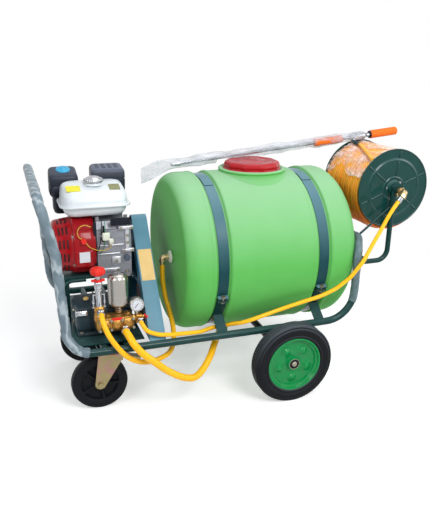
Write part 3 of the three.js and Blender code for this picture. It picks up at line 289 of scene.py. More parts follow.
# Grass-green enamel on the pressed rims: the glossiest paint here.
rim_enamel = plain("green_rim_enamel", "rim_green", "#0b8c46", 0.13, 60, ("#078040", "#0a8845"),
                   (0.11, 0.15), 0.02, gloss=0.25)

# %% Mouldings and labels
# Rotationally moulded polythene: soft gloss, a waxy depth and a slightly uneven wall. Its paler top is dust
# and a painted sheen of the light from above.
polythene = plain("rotomoulded_polythene", "tank_plastic", "#5eb257", 0.45, 90, ("#58ab50", "#63b75e"),
                  (0.4, 0.52), 0.5, gloss=0.04, dust_and_sheen=("#b4cdbb", 0.5))
# The lid is injection moulded, clear red and glossy.
red_lid_plastic = plain("moulded_red_polythene", "red_plastic", "#a80a13", 0.14, 25, ("#9f0911", "#b00f17"),
                        bump=0.05, gloss=0.1, dust_and_sheen=("#e8a9b4", 0.1))
# Nylon: orange-red on the pump's knob and levers, cream on fittings, black and blue-grey on the engine.
red_plastic = plain("moulded_red_nylon", "red_plastic", "#e02a22", 0.34, 12, ("#d6241e", "#e8362c"),
                    bump=0.08, gloss=0.2)
cream_plastic = plain("cream_nylon_fitting", "white_plastic", "#d9dccb", 0.4, 8, ("#ccd0bd", "#e4e6d8"),
                      bump=0.1)
black_plastic = plain("black_nylon_housing", "black_plastic", "#1a1f2a", 0.42, 3, ("#161a24", "#222836"),
                      (0.34, 0.5), 0.15, gloss=0.25, dust_and_sheen=("#5a6478", 0.25))
grey_plastic = plain("blue_grey_nylon", "black_plastic", "#4a5468", 0.45, 3, ("#414a5c", "#566074"),
                     bump=0.15)
# White enamel on the fuel tank, and polypropylene on the air cleaner's knob.
white_plastic = plain("white_enamelled_tank", "white_plastic", "#d6dde1", 0.26, 60, ("#ced6db", "#dbe1e5"),
                      bump=0.06, gloss=0.4)
cyan_plastic = plain("cyan_polypropylene", "black_plastic", "#1f97c4", 0.36, 8, ("#1a8bb8", "#2ba8d2"))
# Printed labels are left blank: one flat colour each.
blank_label = plain("blank_yellow_label", "white_plastic", "#d6b26a", 0.5, 30, ("#cfa95f", "#dfbe7c"))
yellow_label = plain("blank_bright_label", "white_plastic", "#dcd413", 0.42, 20, ("#d4cb10", "#e4dc2a"))
dark_label = plain("blank_dark_label", "white_plastic", "#6c6f5a", 0.42, 9, ("#4f5350", "#9c9a55"))
white_label = plain("blank_white_label", "white_plastic", "#d3d7de", 0.42, 10, ("#c4c9d2", "#e0e3e8"))
# Sheaths of the engine's thin wires.
yellow_wire = plain("yellow_wire_sheath", "hose_rubber", "#c9a22c", 0.45, 10, ("#bd9626", "#d6b13a"))
green_wire = plain("green_wire_sheath", "black_plastic", "#2f6b4a", 0.45, 10, ("#28603f", "#3a7a58"))

# %% Films
# Stretch film wound over the handle: grey-blue, milky where it lies loose, darker where it is tight
# on the tube, with fine creases that run a little across the winding.
film_wrap, n, s, at = start("polythene_stretch_film", "grey_film", "#76868f", 0.42, gloss=0.2)
strength, shade = mottle(n, s, at, 40, ("#53646d", "#84959f"), (0.3, 0.5), stretch=(1, 1, 1.3))
creased = add(n, "ShaderNodeVectorMath", {"operation": "MULTIPLY"}, _0=at, _1=(1.0, 1.0, 0.35))
creases = add(n, "ShaderNodeTexWave", {"bands_direction": "DIAGONAL"}, Vector=creased.outputs[0], Scale=0.012,
              Distortion=9.0, Detail=4.0, Detail__Scale=1.6).outputs["Fac"]
milky = tint(n, remap(n, creases, 0.55, 1.0, 0.0, 0.42), shade, colour("#d5dfe4"))
n.links.new(milky, s.inputs["Base Color"])
raised(n, s, creases, 0.5)
# The same film where one tight layer lets the green tube show through.
tight_film = plain("tight_stretch_film", "grey_film", "#54686d", 0.34, 14, ("#38504f", "#7b8f97"),
                   (0.26, 0.42), 0.9, gloss=0.2, detail=4, stretch=(1, 1, 0.5))


def see_through(name, codes, veil, size, stretch, relief):
    """A crumpled clear film: clouds set how milky it is, from nearly clear to white along its folds."""
    film, nodes, shader, place = start(name, "grey_film", codes[1], 0.26, gloss=0.4)
    strength, _ = mottle(nodes, shader, place, size, codes, bump=relief, detail=2.2, stretch=stretch)
    nodes.links.new(remap(nodes, strength, 0.36, 0.66, *veil), shader.inputs["Alpha"])
    return film


# Polythene sleeve on the lance: mostly see-through, with long white streaks.
clear_film = see_through("clear_polythene_sleeve", ("#8e96a6", "#e9ecf2"), (0.16, 0.62), 17,
                         (0.22, 1, 1), 1.6)
# Stretch film over the wound hose: pinkish where it lies double.
pink_film = see_through("pinkish_stretch_film", ("#f3b9a0", "#fbeeea"), (0.1, 0.85), 34, (1, 0.45, 1), 1.5)

# %% Rubber, foam and hose
# Tyre rubber: nearly black, with a painted bluish sheen of the light from above where it faces up. The
# casters' rubber is harder and duller.
rubber = plain("tyre_rubber", "tyre", "#121317", 0.45, 20, ("#0d0e11", "#15161b"), (0.38, 0.54), 0.2,
               gloss=0.1, dust_and_sheen=("#8a97a3", 0.27))
caster_rubber = plain("caster_rubber", "tyre", "#101116", 0.55, 14, ("#0c0d10", "#181a1e"), (0.45, 0.65),
                      0.12, gloss=0.12)
belt_rubber = plain("vulcanised_belt_rubber", "belt_rubber", "#141517", 0.75, 4, ("#101113", "#1e2022"),
                    bump=0.1, gloss=0.3)
# PVC spray hose: smooth, glossy, warm yellow. The hose on the reel is more orange.
hose_pvc = plain("yellow_pvc_hose", "hose_rubber", "#f8b91a", 0.32, 60, ("#f5b312", "#fbc024"), bump=0.08,
                 gloss=0.22)
wound_pvc = plain("orange_pvc_hose", "hose_rubber", "#ec9a20", 0.34, 45, ("#e0871c", "#f5ab30"), bump=0.08,
                  gloss=0.15)
# The loose outer turns are the same hose: each turn has its own tint, and the turns that hang low are
# painted a deeper orange, as the shade they lie in.
loose_pvc, n, s, at = start("loose_orange_pvc_hose", "hose_rubber", "#f0a030", 0.3, gloss=0.15,
                            Subsurface_Weight=0.5, Subsurface_Scale=0.006)
strength, shade = mottle(n, s, at, 16, ("#ff9d1a", "#ffd055"), detail=2, stretch=(0.05, 1, 0.05))
height = add(n, "ShaderNodeSeparateXYZ", _0=at).outputs["Z"]
painted_low_shade = tint(n, remap(n, height, 800.0, 600.0, 0.0, 0.9), shade, colour("#ee6f1e"))
n.links.new(painted_low_shade, s.inputs["Base Color"])
# Foam rubber on the lance's two grips.
grip_foam = plain("orange_grip_rubber", "orange_grip", "#ea6f22", 0.5, 6, ("#e5681c", "#f07c2e"), (0.42, 0.6),
                  0.12, gloss=0.12)

# %% Metals
# Zinc-chromate plating on pressed steel: yellowish grey, with the pink and green clouds of the
# passivating bath. The swivel's ring above the fork is painted red.
RING_BOTTOM = 213.9
zinc, n, s, at = start("yellow_zinc_plate", "zinc_steel", "#8f8156", 0.4, 0.7)
strength, shade = mottle(n, s, at, 24, ("#7f7550", "#a99b70"), (0.32, 0.5), bump=0.1)
blush = add(n, "ShaderNodeTexNoise", Vector=at, Scale=1 / 34, Detail=2.0)
pinker = tint(n, remap(n, blush.outputs["Fac"], 0.45, 0.65, 0.0, 0.7), shade, colour("#a8797c"))
height = add(n, "ShaderNodeSeparateXYZ", _0=at).outputs["Z"]
above = add(n, "ShaderNodeMath", {"operation": "GREATER_THAN"}, _0=height, _1=RING_BOTTOM).outputs[0]
n.links.new(tint(n, above, pinker, colour("#b01c20")), s.inputs["Base Color"])
bare = add(n, "ShaderNodeMath", {"operation": "MULTIPLY_ADD"}, _0=above, _1=-0.6, _2=0.7)
n.links.new(bare.outputs[0], s.inputs["Metallic"])
# The same plating on bolts and nuts, wherever they are.
zinc_bolt = plain("zinc_plated_bolt", "zinc_steel", "#8c8878", 0.38, 5, ("#7a776a", "#a29e8e"), (0.3, 0.5),
                  metallic=0.8)
# Die-cast aluminium: dull grey with a fine sandy skin. The machined edges of a casting are brighter.
cast_aluminium = plain("die_cast_aluminium", "cast_aluminium", "#8b8d94", 0.46, 5, ("#6f727a", "#a6a8af"),
                       (0.36, 0.55), 0.35, 0.5)
bright_casting = plain("machined_aluminium", "cast_aluminium", "#b9bbc1", 0.34, 5, ("#a9abb1", "#cccfd4"),
                       (0.28, 0.42), 0.1, 0.7)
# Brass, cast and part machined: warm, with darker oxide in its hollows. Nickelled brass is paler.
brass = plain("cast_brass", "brass", "#b07f3a", 0.34, 7, ("#8f6227", "#cf9f52"), (0.27, 0.48), 0.25, 0.8)
pale_brass = plain("nickelled_brass", "brass", "#b39a6b", 0.32, 7, ("#97805a", "#ccb78c"), (0.25, 0.42), 0.1,
                   0.85)
# Stainless steel drawn into the air chamber's shell, and chrome plate.
stainless = plain("drawn_stainless_steel", "stainless", "#a9a59f", 0.26, 6, ("#a5a09a", "#b1aea9"),
                  (0.24, 0.29), metallic=1.0, stretch=(1, 1, 0.05))
chrome = plain("chrome_plate", "chrome", "#aeb1b6", 0.18, 10, ("#a1a4a9", "#bdc0c5"), (0.13, 0.26),
               metallic=1.0)
# Painted cast iron on the pump: dark, lumpy from its sand mould. Its pulley is painted maroon.
cast_iron = plain("painted_cast_iron", "cast_iron", "#22323a", 0.45, 4, ("#1a272e", "#2e424b"), (0.36, 0.55),
                  0.35, gloss=0.3)
maroon_iron = plain("maroon_painted_iron", "cast_iron", "#4a121c", 0.42, 5, ("#340d14", "#561a22"),
                    (0.34, 0.5), 0.2, gloss=0.25)
print("materials", len(bpy.data.materials))

# %% [markdown]
# ## Shapes from arrays
# A surface here is a grid of points: rows one way, columns the other. A tube carries a circle along
# a path, a turned piece carries a profile round an axis, and a soft box pushes the corners of a
# sphere apart. Each is worked out for all its points at once.


# %% Grids and pieces
def skin(grid, ends=True):
    """Points and faces of a grid whose rows close on themselves. The end rows get one face each."""
    rows, cols = grid.shape[:2]
    r, c = np.meshgrid(np.arange(rows - 1), np.arange(cols), indexing="ij")
    a, b = r * cols + c, r * cols + (c + 1) % cols
    faces = np.stack([a, b, b + cols, a + cols], -1).reshape(-1, 4).tolist()
    if ends:
        faces += [list(range(cols)), list(range((rows - 1) * cols, rows * cols))]
    return grid.reshape(-1, 3), faces


def ring_skin(grid):
    """A grid closed both ways, such as a tyre or a sleeve."""
    rows, cols = grid.shape[:2]
    r, c = np.meshgrid(np.arange(rows), np.arange(cols), indexing="ij")
    a, b = r * cols + c, r * cols + (c + 1) % cols
    down = ((r + 1) % rows) * cols
    faces = np.stack([a, b, down + (c + 1) % cols, down + c], -1).reshape(-1, 4).tolist()
    return grid.reshape(-1, 3), faces


def together(*shapes):
    """Several shapes as one list of points and one of faces."""
    points, faces, count = [], [], 0
    for p, f in shapes:
        points.append(p)
        faces += [[i + count for i in face] for face in f]
        count += len(p)
    return np.concatenate(points), faces


def piece(name, shape, finish, node=None, body="cart", sharp=38):
    """One finished object. Its doubles are merged, its faces point outwards, and it rides on a body.
    It may stand for a CAD node, and its edges stay sharp above some angle in degrees. A list of shapes
    becomes one object."""
    points, faces = together(*shape) if isinstance(shape, list) else shape
    mesh = bpy.data.meshes.new(name)
    mesh.from_pydata(metres(points).tolist(), [], faces)
    work = bmesh.new()
    work.from_mesh(mesh)
    bmesh.ops.remove_doubles(work, verts=work.verts, dist=2e-6)
    bmesh.ops.dissolve_degenerate(work, dist=1e-6, edges=work.edges)
    bmesh.ops.recalc_face_normals(work, faces=work.faces)
    work.to_mesh(mesh)
    work.free()
    mesh.shade_smooth()
    mesh.set_sharp_from_angle(angle=math.radians(sharp))
    mesh.materials.append(finish)
    obj = bpy.data.objects.new(name, mesh)
    scene.collection.objects.link(obj)
    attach(obj, body)
    if node:
        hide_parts(node)
    return obj


# %% Tubes
DIRECTIONS = np.array([(x, y, z) for x in (-1, 0, 1) for y in (-1, 0, 1) for z in (-1, 0, 1)
                       if (x, y, z) > (0, 0, 0)], float)
DIRECTIONS /= np.linalg.norm(DIRECTIONS, axis=1)[:, None]


def frames(path):
    """Two directions across a path at each point: square to it, and to a line it never runs along."""
    steps = np.diff(path, axis=0)
    steps /= np.linalg.norm(steps, axis=1)[:, None]
    along = np.vstack([steps[:1], steps[:-1] + steps[1:], steps[-1:]])
    along /= np.linalg.norm(along, axis=1)[:, None]
    aside = DIRECTIONS[np.abs(along @ DIRECTIONS.T).max(0).argmin()]
    across = np.cross(along, aside)
    across /= np.linalg.norm(across, axis=1)[:, None]
    return across, np.cross(along, across)


def tube(path, radius, sides=20):
    """A circle carried along a path. The radius may change along it, or round it too."""
    path = np.asarray(path, float)
    across, over = frames(path)
    turn = np.linspace(0, 2 * np.pi, sides, endpoint=False)
    radius = np.broadcast_to(np.asarray(radius, float).reshape(-1, 1) if np.ndim(radius) < 2 else radius,
                             (len(path), sides))[..., None]
    grid = path[:, None] + radius * (np.cos(turn)[None, :, None] * across[:, None]
                                     + np.sin(turn)[None, :, None] * over[:, None])
    return skin(grid)


def bent(corners, bends, step=6.0):
    """A path of straight runs whose corners are rounded by arcs. Bends are radii."""
    corners = np.asarray(corners, float)
    line = [corners[0]]
    for before, at, after, radius in zip(corners, corners[1:], corners[2:], bends):
        back = (before - at) / np.linalg.norm(before - at)
        on = (after - at) / np.linalg.norm(after - at)
        turn = np.pi - np.arccos(np.clip(back @ on, -1, 1))
        first = at + back * radius * np.tan(turn / 2)
        middle = at + (back + on) / np.linalg.norm(back + on) * radius / np.cos(turn / 2)
        t = np.linspace(0, turn, max(3, int(np.degrees(turn) / step) + 1))[:, None]
        line.extend(middle + (first - middle) * np.cos(t) - back * radius * np.sin(t))
    line.append(corners[-1])
    return np.array(line)


def even(path, step):
    """The same path with a point every so many millimetres."""
    lengths = np.concatenate([[0], np.cumsum(np.linalg.norm(np.diff(path, axis=0), axis=1))])
    places = np.linspace(0, lengths[-1], max(2, int(round(lengths[-1] / step)) + 1))
    return np.stack([np.interp(places, lengths, path[:, i]) for i in range(3)], -1)


def flowing(points, step):
    """A smooth curve through points. Each span's pace is the square root of its length, so that it
    doesn't overshoot: the centripetal Catmull-Rom curve, in the Barry and Goldman form."""
    p = np.asarray(points, float)
    p = np.vstack([2 * p[0] - p[1], p, 2 * p[-1] - p[-2]])
    knots = np.concatenate([[0], np.cumsum(np.sqrt(np.linalg.norm(np.diff(p, axis=0), axis=1)))])
    fine = []
    for i in range(len(p) - 3):
        k, t = knots[i:i + 4], np.linspace(knots[i + 1], knots[i + 2], 24, endpoint=False)[:, None]
        q = [((k[j + 1] - t) * p[i + j] + (t - k[j]) * p[i + j + 1]) / (k[j + 1] - k[j]) for j in range(3)]
        r = [((k[j + 2] - t) * q[j] + (t - k[j]) * q[j + 1]) / (k[j + 2] - k[j]) for j in range(2)]
        fine.append(((k[2] - t) * r[0] + (t - k[1]) * r[1]) / (k[2] - k[1]))
    return even(np.vstack([*fine, p[-2:-1]]), step)


def rod(start_at, end_at, radius, sides=20, end_radius=None):
    """A straight bar, or a cone."""
    return tube([start_at, end_at], [radius, radius if end_radius is None else end_radius], sides)


# %% Turned pieces, soft boxes and plates
AXES = {"x": [[0, 1, 0], [0, 0, 1], [1, 0, 0]], "y": [[1, 0, 0], [0, 0, 1], [0, 1, 0]],
        "z": [[1, 0, 0], [0, 1, 0], [0, 0, 1]]}


def turned(profile, axis, centre, sides=48, closed=False, shift=None):
    """A profile of [radius, place along the axis] carried round an axis. A shift is a function of
    radius, angle and place that gives back a new radius and place, for lobes, holes and ribs."""
    profile = np.asarray(profile, float)
    turn = np.linspace(0, 2 * np.pi, sides, endpoint=False)[None]
    radius, along = np.broadcast_arrays(profile[:, :1], turn)[0], np.broadcast_arrays(profile[:, 1:], turn)[0]
    if shift:
        radius, along = shift(radius, turn, along)
    across, over, out = np.array(AXES[axis], float)
    grid = (np.asarray(centre, float) + (radius * np.cos(turn))[..., None] * across
            + (radius * np.sin(turn))[..., None] * over + along[..., None] * out)
    return ring_skin(grid) if closed else skin(grid)


def soft_box(low, high, radius, steps=4):
    """A box with rounded edges: a small sphere whose eight parts are moved out to the corners."""
    low, high = np.asarray(low, float), np.asarray(high, float)
    tilt = np.concatenate([np.linspace(-90, 0, steps + 1), np.linspace(0, 90, steps + 1)])
    spin = np.concatenate([np.linspace(q, q + 90, steps + 1) for q in (0, 90, 180, 270)])
    half = np.repeat([-1, 1], steps + 1)
    quarter = np.repeat([[1, 1], [-1, 1], [-1, -1], [1, -1]], steps + 1, axis=0)
    tilt, spin = np.radians(tilt)[:, None], np.radians(spin)[None]
    ball = np.stack([np.cos(tilt) * np.cos(spin), np.cos(tilt) * np.sin(spin), np.sin(tilt) + 0 * spin], -1)
    corner = np.zeros_like(ball)
    corner[..., 0], corner[..., 1], corner[..., 2] = quarter[:, 0], quarter[:, 1], half[:, None]
    return skin((low + high) / 2 + corner * ((high - low) / 2 - radius) + ball * radius)


def plate(outline, axis, start_at, end_at):
    """A flat outline with a thickness, across an axis."""
    outline = np.asarray(outline, float)
    across, over, out = np.array(AXES[axis], float)
    flat = outline[:, :1] * across + outline[:, 1:] * over
    return skin(np.stack([flat + start_at * out, flat + end_at * out]))


def head(axis, at, base, edge, top, radius, crown, sides=6):
    """A bolt's head along an axis, from its base to its chamfered top."""
    return turned([[0, base], [radius, base], [radius, edge], [crown, top], [0, top]], axis, at, sides)


def bars(axis, at, *rows):
    """Straight bars along an axis through a point. A row is (start, end, radius, sides, end radius)."""
    shapes = []
    for start_at, end_at, *roundness in rows:
        ends = np.array([at, at], float)
        ends[:, "xyz".index(axis)] = start_at, end_at
        shapes.append(rod(*ends, *roundness))
    return shapes


def turned_about_x(shape, degrees, y, z):
    """A shape leaned about a line along X."""
    points, faces = shape
    c, s = math.cos(math.radians(degrees)), math.sin(math.radians(degrees))
    p = points - (0, y, z)
    return np.stack([p[:, 0], c * p[:, 1] - s * p[:, 2], s * p[:, 1] + c * p[:, 2]], -1) + (0, y, z), faces


def mirrored(shape):
    """The same shape on the other side of the cart."""
    points, faces = shape
    return points * (1, -1, 1), faces


def smooth(t):
    """A soft step from 0 to 1: three times the square less twice the cube."""
    t = np.clip(t, 0, 1)
    return t * t * (3 - 2 * t)


# %% [markdown]
# ## Hoses
# Four PVC hoses join the pump, the tank and the reel. Each is a fixed length of something flexible,
# so its route comes first: straight out of its spigot for a little way, then hanging in a loose
# curve. The routes are the ones the CAD model has.

# %% Hoses
SPIGOT_Y = -262.0
START_Y = SPIGOT_Y - 0.3


def hose(name, node, points, diameter, finish, step=7.0):
    """A hose along a route: straight at both ends, and a smooth curve between."""
    points = np.asarray(points, float)
    line = np.vstack([points[:1], flowing(points[1:-1], step), points[-1:]])
    obj = piece(name, tube(line, diameter / 2, 16), finish, node, sharp=80)
    return line


hose("suction_line", "suction_hose", [
    [-592, START_Y, 322], [-592, -272, 322], [-588, -288, 318], [-576, -314, 296], [-550, -325, 262],
    [-507, -327, 221], [-455, -326, 175], [-400, -320, 141], [-360, -310, 131], [-324, -290, 146],
    [-288, -262, 178], [-258, -218, 199], [-234, -176, 204], [-217.5, -146.1, 204], [-209.2, -135.2, 204],
], 25, hose_pvc)
hose("return_line", "return_hose", [
    [-671, START_Y, 392], [-671, -272, 392], [-670, -288, 376], [-656, -310, 335], [-628, -317, 288],
    [-595, -313, 247], [-553, -300, 217], [-513, -280, 201], [-473, -260, 197], [-434, -238, 203],
    [-412, -215, 224], [-402, -180, 260], [-402, -130, 310], [-409, -98, 356], [-414, -80, 410],
    [-415, -76, 465], [-415, -76, 477.7],
], 18, hose_pvc)
hose("delivery_line", "delivery_hose", [
    [-539, START_Y, 349], [-539, -270, 349], [-536, -283, 343], [-524, -291, 325], [-490, -293, 308],
    [-451, -292, 300], [-400, -288, 295], [-333, -281, 290], [-292, -257, 285], [-268, -245, 282],
    [-250, -242, 281], [-226, -244, 283], [-203, -264, 295], [-180, -288, 307], [-150, -299, 318],
    [-60, -304, 342], [39, -303, 363], [119, -303, 379], [176, -306, 401], [205, -311, 423], [230, -314, 443],
    [253, -315, 470], [279, -314, 501], [308, -300, 532], [343, -281, 567], [380, -263, 605],
    [411, -249, 641], [442, -235, 671], [463, -224, 686], [476.4, -217.4, 694.6], [482.8, -216.05, 701.8],
], 15, hose_pvc)

# %% [markdown]
# ## Reel and wound hose
# The hose to the lance is wound on the reel in layers, about 57 metres as drawn. The three tight
# layers are one helix that crosses the reel, steps out by a hose's width and comes back, and they turn
# with the reel. The outer turns are loose: they touch the others on top, and sag more the lower they
# come. They stay with the cart, so the sag points down at every turn of the reel.

# %% Wound hose
REEL = np.array([500.3, 0.0, 720.6])
REEL_R, REEL_HALF, HOSE_D = 154.8, 131.5, 13.0
DRAWN_D = HOSE_D - 0.4
WINDING_R = 146.0
LAYER_R, LAYER_TURNS, LAYER_STEP = np.array([99.0, 112.3, 125.6]), 19, 13.3
LOOSE_R, LOOSE_TURNS, SLACK = 139.4, 18, 26.0


def wound_cord(name, helix, finish, node, body):
    """A wound hose: a thin tube along its helix."""
    obj = piece(name, tube(helix, DRAWN_D / 2, 8), finish, node, body, sharp=80)


def on_reel(radius, turn, across):
    """Points round the reel's axis, from a radius, an angle from +X towards +Z, and a place across."""
    radius, turn, across = np.broadcast_arrays(radius, turn, across)
    return np.stack([REEL[0] + radius * np.cos(turn), across, REEL[2] + radius * np.sin(turn)], -1)


def hang(turn):
    """How far a loose turn hangs from the reel at an angle: nothing on top, all of it at the bottom."""
    return ((1 - np.sin(turn)) / 2) ** 1.6


angle = np.arange(len(LAYER_R) * LAYER_TURNS * 24 + 1) * 2 * np.pi / 24
turn_no = angle / (2 * np.pi)
layer = np.minimum((turn_no / LAYER_TURNS).astype(int), len(LAYER_R) - 1)
within = turn_no - layer * LAYER_TURNS
pitch = (2 * REEL_HALF - HOSE_D - 2) / LAYER_TURNS
across = (np.where(layer % 2 == 0, within * pitch, (LAYER_TURNS - within) * pitch)
          - (REEL_HALF - HOSE_D / 2 - 1))
step_out = np.clip((within - LAYER_TURNS + 0.7) / 0.7, 0, 1)
radius = LAYER_R[layer] + np.where(layer < len(LAYER_R) - 1, step_out * LAYER_STEP, 0)
wound_cord("wound_hose", on_reel(radius, angle, across), wound_pvc, "hose_winding", "reel")

turn_no = np.arange(LOOSE_TURNS * 36 + 1) / 36
angle = np.pi / 2 + 2 * np.pi * turn_no
slack = SLACK + 3 * np.sin(2.1 * turn_no) + 1.5 * np.sin(5.3 * turn_no)
across = 122 - 244 * turn_no / LOOSE_TURNS
wound_cord("loose_hose", on_reel(LOOSE_R + slack * hang(angle), angle, across), loose_pvc, None, "cart")

# %% Hose to the lance
gun_y = np.array([55, 20, -15, -50, -85, -121.0])


def gun_turn(y):
    """The angle at which the hose to the lance lies across the winding."""
    return np.radians(108.5 + (55 - y) * 0.125)


gun_route = on_reel(WINDING_R + HOSE_D / 2 + 1, gun_turn(gun_y), gun_y)
gun_route = np.vstack([[[450.9, 96.7, 872.9], [448.9, 90.4, 868.9]], gun_route,
                       gun_route[-1:] - (0.8, 3, 0.5)])
gun_line = hose("lance_line", "gun_hose", gun_route, HOSE_D, loose_pvc)
piece("lance_line_ferrule", tube(gun_line[:7], HOSE_D / 2 + 0.9, 20), cast_iron, sharp=60)

# %% Reel discs
RIB_RUNS = ((49, 105, 135.6), (117, 147, 133.7))


def pressed_disc(radius, turn, along):
    """A pressed disc: its middle stands out a little, a ring runs three quarters of the way out, and a
    smaller one runs round the hub. Each ring is a bell curve of the radius."""
    rings = 4.2 * np.exp(-((radius - 111) / 4.6) ** 2) + 2.8 * np.exp(-((radius - 44) / 2.6) ** 2)
    raised_by = rings + 2.0 / (1 + np.exp((radius - 108) / 1.5))
    return radius, along + np.sign(along) * raised_by * (np.abs(along) > REEL_HALF + 0.5)


def disc_rib(degrees, low, high, across):
    """A rounded rib along a radius, half sunk in the disc, thinner at its ends."""
    turn = math.radians(degrees)
    places = np.array([low, low + 1.2, low + 3.5, low + 6, high - 6, high - 3.5, high - 1.2, high])
    return tube(on_reel(places, turn, -across), [0.6, 2.4, 3.3, 3.6, 3.6, 3.3, 2.4, 0.6], 14)


def both_sides(shapes):
    """Shapes, and the same ones mirrored to the other side of the cart."""
    return [*shapes, *[mirrored(shape) for shape in shapes]]


steps = np.linspace(34, REEL_R - 6, 90)
disc = [[11, 132], *[[r, 132] for r in steps], [REEL_R - 2.4, 131.7], [REEL_R - 0.4, 132.4], [REEL_R, 134],
        [REEL_R - 0.8, 135.8], [REEL_R - 2.4, 136.2], [REEL_R - 4, 135.4], [REEL_R - 5, 133.6],
        *[[r, 133.2] for r in steps[::-1]], [30, 137], [29, 148.5], [11, 148.5]]
far_disc = turned(disc, "y", REEL, 120, closed=True, shift=pressed_disc)
core = turned([[82, -132], [85, -132], [85, 132], [82, 132]], "y", REEL, 48, closed=True)
ribs = [disc_rib(22 + 60 * k, *run) for k in range(6) for run in RIB_RUNS]
piece("reel_discs", [*both_sides([far_disc]), core, *both_sides(ribs)], disc_enamel, "hose_reel", "reel")
bolts = [turned([[0, 136], [5, 136], [5, 138.5], [3, 140.6], [0, 141]], "y", REEL + (a, 0, b), 12)
         for a, b in ((27, 22), (-29, 3), (2, -33))]
piece("reel_bolts", [mirrored(bolt) for bolt in bolts], chrome, body="reel")

# %% [markdown]
# The turns are wrapped in a pinkish stretch film from their top down to their left side. It is one
# crinkled sheet that lies on the loose turns, with a ragged lower edge. It presses flat under the
# hose that crosses it, and its creases stand up freely elsewhere.


# %% Film over the winding
FILM_TOP, FILM_LOW, FILM_WIDE = 74, 166, 0.257


def open_skin(grid):
    """Points and faces of a grid that closes neither way."""
    rows, cols = grid.shape[:2]
    r, c = np.meshgrid(np.arange(rows - 1), np.arange(cols - 1), indexing="ij")
    a = r * cols + c
    return grid.reshape(-1, 3), np.stack([a, a + 1, a + cols + 1, a + cols], -1).reshape(-1, 4).tolist()


film_y = np.linspace(-128, 127, 150)[None]
lower_edge = (FILM_LOW + 5 * film_y / 128 - 17 * np.exp(-((film_y - 38) / 45) ** 2)
              + 0.8 * np.sin(film_y / 11))
film_t = np.radians(FILM_TOP + (lower_edge - FILM_TOP) * np.linspace(0, 1, 130)[:, None])
creases = (np.abs(np.sin(0.08 * film_y + 9 * film_t)) + 0.7 * np.abs(np.sin(0.15 * film_y - 16 * film_t + 1))
           + 0.5 * np.abs(np.sin(0.05 * film_y + 31 * film_t)) + 0.4 * np.sin(0.3 * film_y + 5 * film_t))
free = smooth((150 * np.abs(film_t - gun_turn(film_y)) - 9) / 16)
film_r = LOOSE_R + HOSE_D / 2 + 0.5 + 29 * hang(film_t) + (0.25 + 2.2 * free) * np.clip(creases, 0, 3)
film_grid = on_reel(film_r, film_t, film_y)
reel_film = piece("winding_film", open_skin(film_grid), pink_film, sharp=180)

# %% [markdown]
# ## Frame tubes
# The frame is one bent tube, so each run is a path with rounded corners and a circle carried along
# it. The handle is a second tube, wound in stretch film whose edges show as small spiral steps. The
# frame's hoop beside the tank is wound in the same film.

# %% Frame and handle
TUBE_R = 13.5
RAIL_Y, RAIL_Z, JOINT_X = 289.0, 268.0, -688.0
HOOP_CROSS_X = 313.5


def both_rails(near, bends):
    """A bent path from the near rail's points, and the same points mirrored back along the far rail."""
    return bent(near + [[x, -y, z] for x, y, z in near][::-1], bends + bends[::-1])


def spiral_film(path, inner, step, sides, lap, rise):
    """A wound film's path and radius: a saw tooth that climbs one lap's thickness each turn, with soft
    folds. The folds are products and sums of sines along the path and round it."""
    path = even(path, step)
    s = np.arange(len(path))[:, None] * step
    turn = np.linspace(0, 2 * np.pi, sides, endpoint=False)[None]
    phase = s / lap + turn / (2 * np.pi)
    saw = phase - np.floor(phase)
    folds = (0.8 * np.sin(s / 19.0 + 3 * turn) * np.sin(s / 31.0 - 2 * turn)
             + 0.35 * np.sin(s / 9.0 + 4 * turn))
    bulge = 0.7 * np.sin(s / 47.0 + turn)
    return path, inner + rise * saw + 0.7 * folds + 0.5 * bulge


frame_path = both_rails([[JOINT_X, -RAIL_Y, RAIL_Z], [270, -RAIL_Y, RAIL_Z], [270, -RAIL_Y, 545],
                         [HOOP_CROSS_X, -215, 562]], [110, 50, 70])
cross_tubes = [rod([x, -RAIL_Y, RAIL_Z], [x, RAIL_Y, RAIL_Z], 12.5) for x in (-665, -588)]
piece("frame_tube", [tube(frame_path, TUBE_R, 24), *cross_tubes], enamel, "chassis_frame", sharp=60)
handle_path = both_rails([[JOINT_X - 0.3, -RAIL_Y, RAIL_Z], [-785, -RAIL_Y, RAIL_Z], [-806, -RAIL_Y, 620],
                          [-846, -RAIL_Y, 795]], [90, 250, 55])
piece("handle_tube", tube(handle_path, TUBE_R, 20), enamel, "push_handle", sharp=60)

fine_handle = even(handle_path, 4.0)
wrap_path, wrap_radius = spiral_film(fine_handle[8:-8], 14.7, 3.0, 32, 74.0, 2.7)
piece("handle_film", tube(wrap_path, wrap_radius, 32), film_wrap, "handle_wrap", sharp=50)
fine_frame = even(frame_path, 4.0)
on_hoop = (fine_frame[:, 0] > 262) & (fine_frame[:, 1] < -190) & (fine_frame[:, 2] > 330)
hoop_path, hoop_radius = spiral_film(fine_frame[on_hoop], 14.5, 3.0, 28, 60.0, 1.0)
piece("hoop_film", tube(hoop_path, hoop_radius, 28), tight_film, sharp=50)

# %% [markdown]
# ## Tank
# A rotationally moulded tank has one even wall, so its shape is a single profile turned about its
# axis: a flatter shoulder at the engine end, a longer one at the reel end, and a groove for each
# strap. The neck grows out of it in a small fillet.

# %% Tank shell
TANK_R, TANK_Z = 294.0, 502.0
TANK_LEFT, TANK_RIGHT = -379.0, 297.0
STRAPS = (-249.6, 133.6)
LEFT_ROUND, RIGHT_ROUND = (36, 52), (120, 77)
GROOVE_DEEP, LIP_HIGH = 10, 1.6

